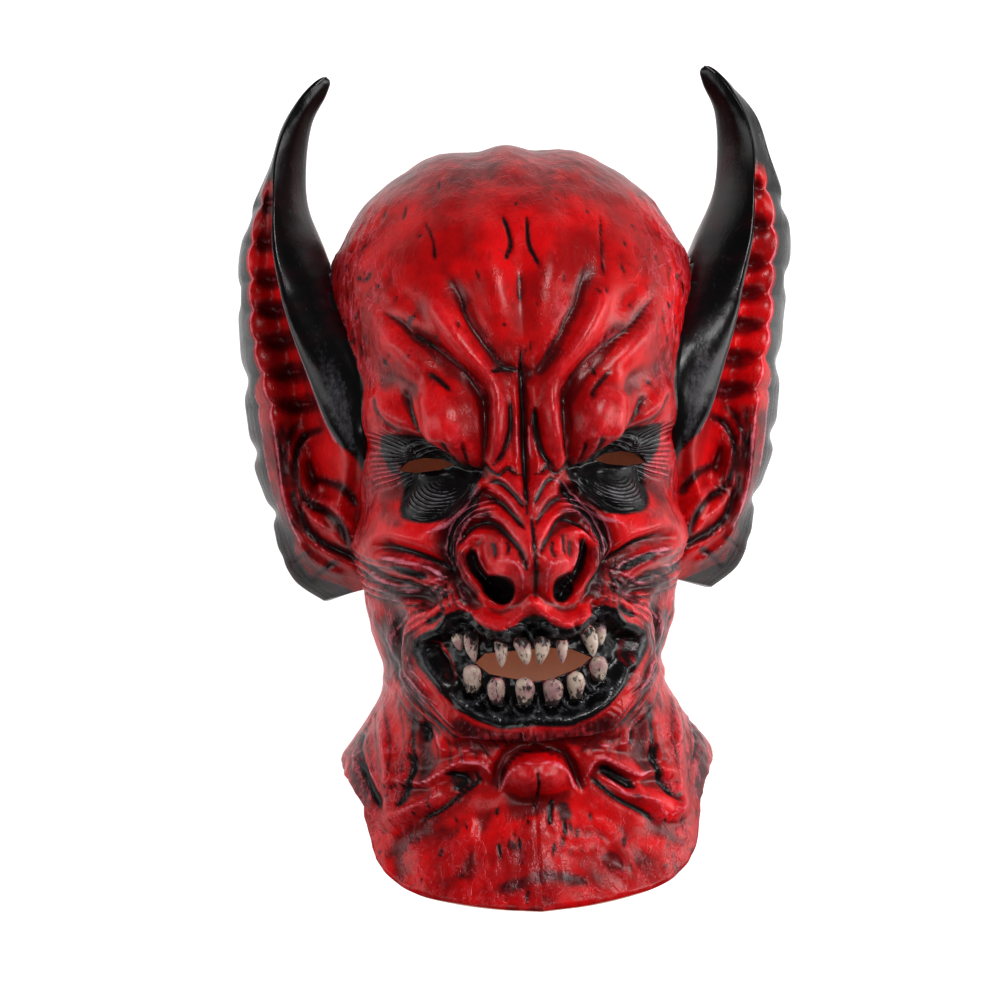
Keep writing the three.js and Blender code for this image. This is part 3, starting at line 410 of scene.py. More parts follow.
# Pale paint without a form of its own, dry brushing and painted highlights: side, half width, strength,
# points.
BRUSHED = (
    (-1, 3.0, 0.8, ((19, 66), (16, 58), (13, 52))),
    (1, 6.0, 0.7, ((22, 88), (18, 72), (10, 54))),
    (-1, 2.6, 0.8, ((46, 63), (34, 52), (24, 40), (19, 28))),
    (1, 4.2, 0.8, ((52, 69), (42, 61), (32, 52))),
    (1, 3.0, 0.6, ((21, 44), (17, 34), (16, 26))),
    (-1, 1.2, 0.9, ((18, 17), (18, 11))),
    (-1, 1.0, 0.9, ((12, 15), (13, 9))),
    (1, 1.3, 0.9, ((20, 11), (20, 3))),
    (-1, 1.6, 0.8, ((31, 24), (33, 10), (34, 3))),
    (1, 1.6, 0.8, ((31, 20), (31, 8), (32, 2))),
    (0, 1.6, 0.8, ((46, 22), (44, 13), (45, 8))),
    (-1, 3.4, 0.7, ((70, -46), (60, -47.5), (50, -51))),
    (1, 3.0, 0.6, ((70, -43), (60, -46), (52, -49))),
    (0, 5.0, 0.7, ((84, 6), (84, -12), (88, -30), (87, -44))),
    (0, 4.0, 0.7, ((80, -60), (79, -84), (78, -110))),
    (0, 6.0, 0.6, ((78, -126), (79, -150), (80, -182))),
    (0, 3.0, 0.5, ((36, -192), (46, -204), (58, -214))),
    (0, 3.0, 0.5, ((48, -190), (58, -200), (70, -208))),
    (0, 2.4, 0.4, ((26, -196), (34, -212), (42, -222))),
    (0, 2.6, 0.5, ((62, -168), (74, -172), (86, -168))),
    (2, 7.0, 0.35, ((-30, 163), (0, 168), (30, 163))),
    (0, 9.0, 0.3, ((50, 158), (70, 146), (86, 128))),
)
# Dark airbrushing: side, half width, strength, points.
SHADED = (
    (-1, 4.5, 0.8, ((41, -42), (38, -33), (31, -28), (23, -27), (15, -29))),
    (1, 4.5, 0.8, ((38, -42), (35, -33), (28, -28), (20, -27), (13, -29))),
    (0, 5.5, 1.0, ((32, -44), (35, -51), (34.5, -59), (31, -66), (26, -71))),
    (-1, 7.0, 0.9, ((24, -10), (32, -22), (40, -32), (43, -44), (40, -56), (34, -66), (28, -78))),
    (1, 7.0, 0.9, ((18, -8), (28, -20), (37, -32), (41, -44), (38, -56), (33, -66), (28, -76))),
    (0, 6.0, 0.8, ((42, -60), (50, -56), (60, -52), (70, -47))),
    (0, 7.0, 0.9, ((40, -68), (50, -66), (60, -66), (70, -68), (78, -62))),
    (0, 6.0, 0.8, ((60, -74), (70, -80), (72, -92), (69, -106), (62, -118), (54, -128))),
    (2, 6.5, 0.95, (
        (-48, -130), (-32, -139), (-16, -141.5), (0, -142), (16, -141.5), (32, -139), (48, -130),
    )),
    (0, 5.0, 0.9, ((58, -84), (63, -92), (62, -104), (57, -116), (49, -127))),
    (0, 3.0, 0.2, ((23, -174), (21, -160), (13, -151), (4, -148))),
    (0, 7.0, 0.7, ((64, -124), (60, -140), (58, -156), (60, -170))),
    (0, 6.0, 0.8, ((88, -124), (92, -146), (92, -166), (84, -182))),
    (0, 5.0, 0.4, ((30, -166), (38, -176), (50, -184), (64, -192))),
    (0, 5.0, 0.25, ((4, -180), (8, -196), (12, -212))),
    (0, 4.0, 0.2, ((22, -180), (30, -194), (36, -208), (38, -222))),
    (2, 5.0, 0.9, ((13, -178), (15, -188))),
    (2, 4.0, 0.8, ((-17, -199), (-11, -200))),
    (2, 4.0, 0.8, ((11, -198), (14, -199))),
    (2, 5.0, 0.8, ((-26, -222), (-10, -219), (4, -216), (16, -218), (30, -221))),
    (0, 4.0, 0.5, ((62, -192), (72, -200), (80, -204))),
    (0, 7.0, 0.3, ((60, 18), (70, 22), (82, 22))),
    (0, 5.0, 0.5, ((58, -32), (68, -26), (76, -14), (84, -4))),
    (0, 5.0, 0.5, ((20, 60), (12, 50), (5, 44))),
    (0, 5.0, 0.4, ((5, -28), (9, -22), (16, -18), (24, -16))),
    (0, 5.0, 0.4, ((5, -48), (10, -39), (17, -34), (26, -32), (33, -38))),
)
# Black paint round each eye, on the viewer's left and right.
SOCKET_LEFT = (
    (58, 14), (50, 9), (44.5, 4), (41, 1.5), (34, -1.5), (26, -2.5), (24, -4), (25, -8), (30, -17),
    (35, -22.5), (40, -27), (46, -29.5), (51, -30), (56, -29), (61, -27), (64.5, -23), (67, -18), (69, -12),
    (71, -6), (72, 2), (71, -3), (74, -3), (75.5, 5), (75, 13), (71, 17), (65, 17),
)
SOCKET_RIGHT = (
    (21, -4), (25.5, -3), (34.5, -2), (38.5, 0), (43, 3), (47, 7.5), (51, 11), (55, 14), (59.5, 15.5),
    (65, 18), (70, 18), (74, 13), (74.5, 4), (73, -3), (71.5, -3), (71, -8), (68.5, -16), (65.5, -22),
    (60, -26.5), (54, -28.5), (46.5, -29), (40, -27), (34, -22.5), (29, -17.5), (24, -12),
)
# Wrinkled pouches under the eyes.
BAG_LEFT = (
    (66, -3), (66, -12), (65, -18), (60.5, -25), (54, -28.5), (47.5, -27.5), (42, -24), (36.5, -19),
    (31, -13), (27.5, -8.5), (28.5, -5),
)
BAG_RIGHT = (
    (68, -1), (68, -10), (66, -17), (62, -23), (55, -26.5), (48, -26.5), (42, -23), (36, -17.5), (30, -12),
    (26, -8), (28, -4.5),
)
# Middles of the pouches' wrinkles on the left and right, their height, and the width of one wrinkle.
WRINKLE_MIDDLES = (46.0, 52.0)
WRINKLE_Y = -5.0
WRINKLE_PITCH = 2.2
# Nostrils, and how deep they are.
NOSTRIL_LEFT = ((24, -58), (17, -58.5), (10, -61), (7.5, -66), (9, -72), (15, -74.5), (21, -71), (25, -65))
NOSTRIL_RIGHT = ((18, -58), (13, -59.5), (9, -63), (8.5, -68), (11, -73), (16, -74), (20, -70), (22, -64))
NOSTRIL_DEPTH = 5.0
# Red folds lying inside the black of the mouth: side, half width, points.
RED_FOLDS = (
    (-1, 1.6, ((53, -92), (49, -99), (45.5, -106), (43.5, -113))),
    (1, 1.6, ((55.5, -95), (52, -101), (49.5, -108))),
)

# Ear, right side, from tip to lobe: head edge, blade lip, valley, scallop ridge and rim.
EAR = (
    ((99, 210.5, 12), (102, 212, 15), (104, 212, 14), (105, 211, 12), (105, 209.5, 10)),
    ((102.5, 201, 10), (112.5, 202, 18), (114.5, 202, 14), (115.5, 201.5, 10), (115.5, 199.5, 6)),
    ((109.5, 187, 6), (123, 186, 20), (124.5, 185, 13), (125.5, 185, 9), (125.5, 184, 3)),
    ((112.3, 166, -1), (129, 166, 22), (130, 165, 10), (131, 165, 5), (131.5, 165, -2)),
    ((110.8, 143, -4), (129.5, 143, 24), (131.5, 143, 4), (138, 142, 0), (141.5, 142, -15)),
    ((101.5, 119, 3), (129, 120, 28), (132, 120, -1), (142, 120, -2), (147, 120, -24)),
    ((94, 97, 18), (124.5, 97, 33), (128.5, 97, -3), (141, 98, -2), (147.5, 97, -28)),
    ((88, 73, 37), (118.5, 73, 40), (123.5, 73, -2), (140, 73, 1), (147, 73, -28)),
    ((79, 48, 49), (110, 48, 45), (118.5, 48, -1), (135, 48, 5), (146, 47, -27)),
    ((79, 25, 50), (102, 25, 47), (113, 24, -1), (130.5, 25, 6), (144, 25, -27)),
    ((81, 8, 42), (93, 8, 44), (111, 5, -3), (128, 5, 2), (142, 5, -28)),
    ((82, -9, 24), (94, -9, 28), (106, -10, -4), (126, -15, -3), (136, -14, -29)),
    ((80, -24, 14), (97, -23, 20), (105, -26, 3), (122, -30, -7), (132, -30, -30)),
    ((78, -38, 8), (91, -39, 13), (98, -42, 4), (114, -44, -9), (129, -44, -31)),
    ((76, -52, 2), (84, -52, 6), (90, -54, 2), (104, -57, -12), (121, -60, -32)),
    ((74, -62, -6), (79, -63, -4), (83, -65, -8), (91, -67, -16), (106, -71, -33)),
)
# Scallops of the rim: the places along the ear between which they run, their number and depth.
RIB_FROM = 4.2
RIB_TO = 11.5
RIB_COUNT = 8
SCALLOP = 3.2
# How far the red lobes behind the blade rise.
LOBE_LIFT = 4.5
# Both ears lean to the viewer's right above a height.
EAR_LEAN = 0.055
LEAN_FROM_Y = 90.0
# The right ear's black fin stands farther out than the left one's: place along the ear, millimetres.
RIGHT_FIN = (
    (0, 0), (1, 3), (2, 6.5), (3, 8), (4, 8), (5, 8), (6, 7.5), (7, 4.5), (8, 3),
    (9, 2.5), (10, 2), (11, 1), (12, 0), (15, 1.5),
)
# Thickness of the ear.
EAR_SKIN = 4.2
# Hollow in the back of the ear: its places along the ear, how far it reaches into the head, and the skin
# that is left round it.
HOLLOW_STATIONS = (6.7, 7.4, 8.2, 9.0, 9.8, 10.6, 11.4, 12.2)
HOLLOW_REACH = 16.0
SKIN = 5.0
# Points round the hollow: control point of the ear's ring, and its shift in X and Z.
HOLLOW_SHIFTS = (
    (0, -HOLLOW_REACH, -9), (0, 0, -SKIN - 1), (1, 0, -SKIN - 1.5), (2, -SKIN - 2, -SKIN - 3),
    (3, -SKIN - 1.5, 0), (4, -SKIN + 1.5, -SKIN - 2.5), (6, -2, -SKIN - 4.5), (8, -SKIN - 4, SKIN),
    (10, 2, SKIN + 1.5), (11, 0, SKIN + 1), (12, 0, SKIN + 1), (12, -HOLLOW_REACH, SKIN + 1),
)
# How far a tooth's tip stands out beyond its root.
TOOTH_RAKE = 3.0

# Forms on the front of the ear, seen from the front, in millimetres outward from the middle of the face.
# Cuts: depth, half width, half width of the black wash in them, points.
EAR_CUTS = (
    (4.3, 3.0, 0.7, (
        (106, 22), (113, 19), (118.5, 10), (119.5, 0), (117.5, -9), (112.5, -17), (104, -22), (96, -30),
        (91, -42),
    )),
    (4.3, 3.6, 0.9, (
        (122, -12), (118.5, -20), (116, -28), (112, -34), (106, -39), (101, -42), (92.5, -45.5), (86, -50),
    )),
    (3.5, 2.6, 0.5, ((103, 27), (111, 29), (118.5, 25), (123, 15), (125, 4), (123.5, -8))),
    (3.8, 2.4, 0.4, ((106, -5), (97.5, -8), (91.5, -13), (88, -18))),
    (2.3, 2.0, 0.3, ((124, 30), (126.5, 18), (127, 6), (126, -6))),
    (2.3, 2.2, 0.35, ((100, -50), (106, -54), (112, -60))),
    (2.0, 2.0, 0.3, ((114, -44), (120, -48), (124, -54))),
)
# Ridges: height, half width, half width of the pale line on them, dry brushing and painted highlight, points.
EAR_RIDGES = (
    (4.6, 3.0, 0.32, (
        (103, 21), (108, 18.5), (113, 15.5), (116.5, 8.5), (117.5, 0), (116, -8), (111.5, -14.5),
        (104, -18.5), (96.5, -24), (92, -31.5), (90.5, -42),
    )),
    (3.8, 3.4, 0.2, ((122, 22), (122.5, 8), (120.5, -6), (116, -18), (109, -27), (101, -34), (95, -42))),
    (3.2, 3.0, 0.2, ((110, 12), (111.5, 8), (107.5, 0.5), (103.5, -4.5), (96, -6.5))),
    (3.2, 3.0, 0.2, ((106, -6.5), (106.5, -11), (104.5, -15.5), (99, -18.5))),
    (2.6, 3.4, 0.16, ((128, 12), (127.5, -4), (125, -17), (120, -28), (112, -38), (100, -47), (90, -53))),
    (2.3, 3.4, 0.12, ((120, -38), (114, -46), (104, -53), (94, -58))),
)
# Opening of the ear, and its depth.
CONCHA = ((112, 12), (115, 4), (114, -5), (109, -12), (105.5, -6), (107, 2), (109.5, 8))
CONCHA_DEPTH = 6.0
# Where the red lobes behind the blade meet, as places along the ear, and the width given to each in paint.
LOBE_ENDS = (3.1, 3.87, 4.8, 5.7, 6.4, 7.1, 7.8, 8.5, 9.2)
LOBE_PITCH = 18.0
# Where the blade ends along the ear, and the place across it where the black of the ear lobe starts.
BLADE_END = 10.7
LOBE_EDGE = 7.0
# The tip is rounded off over this much of the ear's length.
TIP_STATIONS = 0.5
# Rings across the ear: their control points, how many of them are on the front, how tightly a ring bends, and
# the points of the mesh between two control points on the back.
EAR_POINTS = 13
EAR_FRONT = 9
EAR_TENSION = 0.32
BACK_SPAN = 3
# Places across the ear where its parts are painted: blade, hollows between the lobes, ridge and outer fin.
BLADE_PLACE = 2.25
BLADE_LINE = 2.32
HOLLOW_PLACE = 3.7
RIDGE_PLACE = 6.05
FIN_PLACE = 6.25
RIM_PLACE = 12.5

# Camera: distance from the plane of the face, scale and size of the picture there, shift, turn and roll.
VIEW_DISTANCE = 2305.0
FACE_Z = 95.0
MM_PER_PIXEL = 0.52
PICTURE_PIXELS = 1000
SHIFT_X = -13.5
SHIFT_Y = -19.8
VIEW_YAW = math.radians(3.0)
VIEW_ROLL = math.radians(2.0)
SENSOR_WIDTH = 36.0
# Lights over the mask in metres: name, place and size. They point at one place.
LIGHTS = (
    ("left", (-1.35, 0.1, 0.5), (0.5, 1.5)),
    ("right", (1.35, 0.1, 0.6), (0.5, 1.5)),
    ("key", (0.45, 0.95, 1.6), (0.4, 0.4)),
    ("fill", (-0.3, -0.9, 1.7), (0.4, 0.4)),
)
LIGHT_TARGET = (0, 0, 0.12)

# How far a stroke's paint is followed.
FAR = 6.0
# A stroke starts at this strength, and grows over this share of its length.
TAPER_START = 0.15
TAPER = 0.15
# Cells of the noise along each axis before it repeats.
GRAIN_CELLS = 32
# First seeds of the wrinkle sheaves, the scattered nicks and the teeth.
SHEAF_SEED = 40
NICK_SEED = 7
TOOTH_SEED = 11
# Scattered nicks: how many are tried, and how far from the middle they reach.
NICK_COUNT = 160
NICK_REACH = 88
# Heights tried when the rows of the skin are spaced.
HEIGHT_SAMPLES = 4000
# Loose groups of fewer points than this are specks.
SPECK_POINTS = 100
# Fan of wrinkles at the outer corner of each eye: where its lines meet, and how many fit in one radian.
FAN_X = 56.0
FAN_Y = 1.0
FAN_COUNT = 8.0
# Middle of the wrinkled upper lids.
LID_X = 52.0
# Width of one strand of the folds beside the mouth.
STRAND_PITCH = 3.6
# Cracks of the lower lip spread from a point this high, this many in one radian.
MOUTH_Y = -95.0
CRACK_COUNT = 13.0
# Wrinkles that run round the wings of the nose, and the width of one.
NOSE_RING = (
    (5, -22), (12, -25), (22, -26), (31, -29), (37, -36), (38, -46), (35, -58),
    (28, -68), (12, -72), (4, -60),
)
RING_PITCH = 2.6
# How far the gum rolls out round a tooth.
GUM_ROLL = 1.9
# Width of a pointed and of a blunt tooth, from root to tip, and the points of the mesh along and round it.
FANG = ((0, 0.78), (0.25, 1), (0.55, 0.86), (0.82, 0.5), (0.94, 0.24), (1, 0.05))
STUMP = ((0, 0.6), (0.3, 0.84), (0.62, 1), (0.82, 0.88), (0.94, 0.55), (1, 0.1))
TOOTH_ROWS = 16
TOOTH_SIDES = 18
# Vertices nearer than this, in metres, are one; edges shorter than the second are removed.
WELD = 2e-6
SHORTEST_EDGE = 1e-7
# How strongly the skin mirrors its surroundings, and the height in metres of its grain.
SKIN_IOR = 1.36
SKIN_GRAIN = 0.0009
# Height in metres of the paper's grain.
PAPER_GRAIN = 0.001

# Painted amounts carried by every vertex, and their plain values.
FIELDS = {
    "ink": FAR,  # millimetres from the dark wash in the folds, negative in it
    "light": FAR,  # millimetres from the pale lines, dry brushing and painted highlights, negative in them
    "black": FAR,  # millimetres from the black paint, negative in it
    "pale": 0.0,  # pale dry brushing, and painted highlights
    "rough": 0.0,  # coarse brushing, with painted sheen
    "bend": 0.0,  # how far the skin stands out from its surroundings, negative in grooves
    "turn": 0.0,  # position across the fine wrinkles, one of them to a whole number
    "furrow": 0.0,  # strength of those wrinkles
    "shade": 0.0,  # dark airbrushing, darker paint towards the crown and round the creases, painted shade in the ear's hollows, and stain on the teeth
    "bone": 0.0,  # teeth
    "raw": 0.0,  # bare latex of the inside
}


def smooth(low, high, value):
    """From 0 at one value to 1 at the other, smoothly. They may fall as well as rise."""
    t = np.clip((value - low) / (high - low), 0.0, 1.0)
    return t * t * (3 - 2 * t)


def profile(table, key):
    """Smooth curve without overshoot through rows of key and value."""
    rows = sorted(table)
    xs = np.array([r[0] for r in rows], float)
    ys = np.array([r[1] for r in rows], float)
    slopes = np.diff(ys) / np.diff(xs)
    tangents = np.empty(len(xs))
    tangents[0] = slopes[0]
    tangents[-1] = slopes[-1]
    product = slopes[:-1] * slopes[1:]
    total = slopes[:-1] + slopes[1:]
    tangents[1:-1] = np.where(product > 0, 2 * product / np.where(total == 0, 1, total), 0)
    k = np.clip(np.searchsorted(xs, key, side="right") - 1, 0, len(xs) - 2)
    step = xs[k + 1] - xs[k]
    t = np.clip((key - xs[k]) / step, 0, 1)
    t2 = t * t
    t3 = t2 * t
    low = (2 * t3 - 3 * t2 + 1) * ys[k] + (t3 - 2 * t2 + t) * step * tangents[k]
    return low + (3 * t2 - 2 * t3) * ys[k + 1] + (t3 - t2) * step * tangents[k + 1]


def grain(points, scale, seed):
    """Smooth noise from -1 to 1 over points in millimetres. Scale is a size, or one for each axis."""
    table = np.random.default_rng(seed).uniform(-1, 1, (GRAIN_CELLS,) * 3)
    place = points / np.array(scale, float)
    cell = np.floor(place).astype(int)
    t = place - cell
    t = t * t * (3 - 2 * t)
    total = np.zeros(points.shape[:-1])
    for corner in np.ndindex(2, 2, 2):
        weight = np.prod(np.where(corner, t, 1 - t), axis=-1)
        index = tuple(((cell + corner) % GRAIN_CELLS)[..., axis] for axis in range(3))
        total += weight * table[index]
    return total


def head_points(angle, straight):
    """Smooth head without carving, for angles round the head and row heights."""
    trim = profile(TRIM, np.degrees(np.abs(angle)))
    bent = NECK_Y + (straight - NECK_Y) * (trim - NECK_Y) / (CUT_Y - NECK_Y)
    y = np.where(straight < NECK_Y, bent, straight)
    width = np.maximum(profile(WIDTH, y), 0.01)
    ahead = np.cos(angle) >= 0
    deep = np.where(ahead, profile(FRONT, y) - AXIS_Z, AXIS_Z - profile(BACK, y))
    power = np.where(ahead, FRONT_POWER, BACK_POWER)
    across = np.abs(np.sin(angle)) / width
    out = np.abs(np.cos(angle)) / np.maximum(deep, 0.01)
    reach = 1 / (across**power + out**power) ** (1 / power)
    return np.stack([np.sin(angle) * reach, y, AXIS_Z + np.cos(angle) * reach], -1)


def head_normals(angle, straight):
    """Outward directions of the smooth head, from its slope over a small turn and rise."""
    turn = 0.004
    rise = 0.15
    u = head_points(angle + turn, straight) - head_points(angle - turn, straight)
    up = np.minimum(straight + rise, CROWN_Y)
    v = head_points(angle, straight - rise) - head_points(angle, up)
    n = np.cross(v, u)
    length = np.linalg.norm(n, axis=-1, keepdims=True)
    n = n / np.maximum(length, 1e-12)
    n[straight >= CROWN_Y - 1e-6] = (0, 1, 0)
    return n


def spline(a, b, c, d, t):
    """Points between b and c on a smooth curve that also passes through a and d."""
    bend = (2 * a - 5 * b + 4 * c - d) * t**2 + (3 * b - a - 3 * c + d) * t**3
    return 0.5 * (2 * b + (c - a) * t + bend)


def curved(points, steps=4):
    """Smooth curve through given points."""
    p = np.array(points, float)
    if len(p) < 3:
        return p
    padded = np.vstack([2 * p[0] - p[1], p, 2 * p[-1] - p[-2]])
    out = []
    for i in range(len(p) - 1):
        out += [spline(*padded[i:i + 4], t) for t in np.arange(steps) / steps]
    out.append(p[-1])
    return np.array(out)


def closed_curve(outline):
    """Smooth closed outline through given points."""
    return curved(list(outline) + [outline[0]])[:-1]


def to_segments(x, y, points):
    """Distance to a line of points, and how far along it the nearest place is, from 0 to 1."""
    pts = np.array(points, float)
    lengths = np.linalg.norm(np.diff(pts, axis=0), axis=1)
    ends = np.concatenate([[0], np.cumsum(lengths)])
    best = np.full(x.shape, np.inf)
    along = np.zeros(x.shape)
    for i in range(len(pts) - 1):
        d = pts[i + 1] - pts[i]
        t = np.clip(((x - pts[i, 0]) * d[0] + (y - pts[i, 1]) * d[1]) / max(d @ d, 1e-9), 0, 1)
        far = np.hypot(x - pts[i, 0] - t * d[0], y - pts[i, 1] - t * d[1])
        nearer = far < best
        best = np.where(nearer, far, best)
        along = np.where(nearer, (ends[i] + t * lengths[i]) / ends[-1], along)
    return best, along


def bulge(field, x, y, cx, cy, rx, ry, lift, turn):
    """Adds a form and its mirror image to a field. On the middle line both are one, so each is halved."""
    c = math.cos(math.radians(turn))
    s = math.sin(math.radians(turn))
    for side in (1, -1):
        dx = x - cx * side
        dy = y - cy
        r = ((dx * c + dy * s * side) / rx) ** 2 + ((dy * c - dx * s * side) / ry) ** 2
        field += lift * np.clip(1 - r, 0, 1) ** 2 * (0.5 if cx == 0 else 1)


def inside_distance(x, y, outline):
    """Distance to a closed outline, positive inside."""
    pts = np.array(outline, float)
    far = to_segments(x, y, np.vstack([pts, pts[:1]]))[0]
    inside = np.zeros(x.shape, bool)
    for a, b in zip(pts, np.roll(pts, -1, axis=0)):
        crosses = (a[1] > y) != (b[1] > y)
        rise = b[1] - a[1] if b[1] != a[1] else 1e-9
        inside ^= crosses & (x < (b[0] - a[0]) * (y - a[1]) / rise + a[0])
    return np.where(inside, far, -far)


def lip_outline():
    """Both halves of the black lips' outline."""
    left = [(-px, py) for px, py in LIPS[1:-1]]
    return list(LIPS) + left[::-1]


def carving(x, y):
    """Lift of the broad carving over the smooth head, seen from the front."""
    lift = np.zeros(x.shape)
    for row in BULGES:
        bulge(lift, x, y, *row)
    for height, half, points in LINES:
        for sign in (1, -1):
            far, along = to_segments(sign * x, y, points)
            lift += height * smooth(-0.15, 0.35, along) * np.clip(1 - (far / half) ** 2, 0, 1) ** 2
            if all(px == 0 for px, _ in points):
                break
    lift -= LIP_SINK * smooth(0, LIP_SLOPE, inside_distance(x, y, lip_outline()))
    return lift


class Relief:
    """Fine relief and paint gathered over points seen from the front."""

    def __init__(self, x, y):
        self.x = x
        self.y = y
        self.lift = np.zeros(x.shape)
        self.ink = np.full(x.shape, FAR)
        self.light = np.full(x.shape, FAR)
        self.black = np.full(x.shape, FAR)
        self.pale = np.zeros(x.shape)
        self.dark = np.zeros(x.shape)
        self.turn = np.zeros(x.shape)
        self.furrow = np.zeros(x.shape)

    def lines(self, side, points, reach):
        """For each side asked for: the points near a line, their distance, and a taper to its ends."""
        signs = {0: (1, -1), 1: (1,), -1: (-1,), 2: (1,)}[side]
        for sign in signs:
            pts = curved([(sign * px, py) for px, py in points])
            low = pts.min(axis=0) - reach
            high = pts.max(axis=0) + reach
            near = (self.x > low[0]) & (self.x < high[0]) & (self.y > low[1]) & (self.y < high[1])
            if near.any():
                far, along = to_segments(self.x[near], self.y[near], pts)
                yield near, far, np.minimum(1, np.minimum(along, 1 - along) / TAPER + TAPER_START)

    def cut(self, side, depth, half, wash, points):
        """A crease with a dark wash in it."""
        for near, far, ends in self.lines(side, points, FAR):
            self.lift[near] -= depth * np.clip(1 - far / half, 0, 1) ** 1.4 * ends
            if wash > 0:
                self.ink[near] = np.minimum(self.ink[near], far - wash * ends)

    def ridge(self, side, height, half, brushed_and_highlit, points):
        """A raised fold with a pale line on it, dry brushing and painted highlight."""
        for near, far, ends in self.lines(side, points, FAR):
            self.lift[near] += height * np.clip(1 - (far / half) ** 2, 0, 1) ** 2 * ends
            if brushed_and_highlit > 0:
                self.light[near] = np.minimum(self.light[near], far - brushed_and_highlit * ends)

    def brush(self, side, half, strength, points):
        """Pale paint along a line: dry brushing, and painted highlight."""
        for near, far, ends in self.lines(side, points, 2 * half):
            amount = strength * smooth(half * 1.4, 0, far) * ends
            self.pale[near] = np.maximum(self.pale[near], amount)

    def shade(self, side, half, strength, points):
        """Dark airbrushing along a line."""
        for near, far, ends in self.lines(side, points, 2 * half):
            amount = strength * smooth(half * 1.3, 0, far) * ends
            self.dark[near] = np.maximum(self.dark[near], amount)

    def sheaf(self, side, count, depth, half, wash, first, last, seed):
        """A sheaf of wrinkles from one line to another, uneven in depth, place and colour."""
        rng = np.random.default_rng(seed)
        for n in range(count):
            t = (n + rng.uniform(-0.2, 0.2)) / max(count - 1, 1)
            points = [(a[0] + (b[0] - a[0]) * t, a[1] + (b[1] - a[1]) * t) for a, b in zip(first, last)]
            bent = [(px + rng.uniform(-0.7, 0.7), py + rng.uniform(-0.7, 0.7)) for px, py in points]
            self.cut(side, depth * rng.uniform(0.6, 1.3), half, wash * rng.uniform(0.4, 1.6), bent)
            off = [(px + rng.uniform(0.2, 0.8), py + 1.5 + rng.uniform(0, 0.6)) for px, py in bent]
            self.ridge(side, depth * 0.6, half, wash * rng.uniform(0, 1.1), off)

    def wrinkles(self, strength, turn, where):
        """Fine wrinkles, one to every whole number of turn, over the places asked for."""
        self.furrow = np.maximum(self.furrow, strength)
        self.turn = np.where(where, turn, self.turn)

    def paint_black(self, inside):
        """Black paint, for distances that are positive inside it."""
        self.black = np.minimum(self.black, -inside)


def carve_eyes(relief):
    """Black sockets, wrinkled pouches and lids, and the fans of wrinkles beside the eyes."""
    for sign, socket, bag, middle in (
        (-1, SOCKET_LEFT, BAG_LEFT, WRINKLE_MIDDLES[0]), (1, SOCKET_RIGHT, BAG_RIGHT, WRINKLE_MIDDLES[1]),
    ):
        x = relief.x * sign
        y = relief.y
        relief.paint_black(inside_distance(x, y, closed_curve(socket)))
        inside = inside_distance(x, y, closed_curve(bag))
        relief.lift -= 1.8 * np.clip(1 - np.abs(inside) / 2.4, 0, 1) ** 1.4
        relief.lift += 1.2 * smooth(0, 6, inside)
        flat = np.stack([x, y, 0 * x], axis=-1)
        rings = np.hypot(x - middle, (y - WRINKLE_Y) * 1.25) + 0.7 * grain(flat, 7, 24)
        coarse = 0.75 + 0.4 * grain(flat, 9, 25)
        pouch = smooth(0.5, 3, inside) * smooth(WRINKLE_Y - 4, WRINKLE_Y - 10, y) * coarse
        relief.wrinkles(pouch, rings / WRINKLE_PITCH, inside > 0)
        arch = np.hypot((x - LID_X) / 1.7, y + 1)
        lid = smooth(5, 6.5, arch) * smooth(13, 10.5, arch) * smooth(0, 3, y) * (x < 66)
        relief.wrinkles(lid, arch / WRINKLE_PITCH, lid > 0)
        fan = smooth(63.5, 67, x) * smooth(84, 78, x) * smooth(-15, -8, y) * smooth(24, 17, y) * (inside < 0)
        rays = np.arctan2(y - FAN_Y, x - FAN_X) * FAN_COUNT + 0.5 * grain(flat, 6, 26)
        relief.wrinkles(fan, rays, fan > 0)


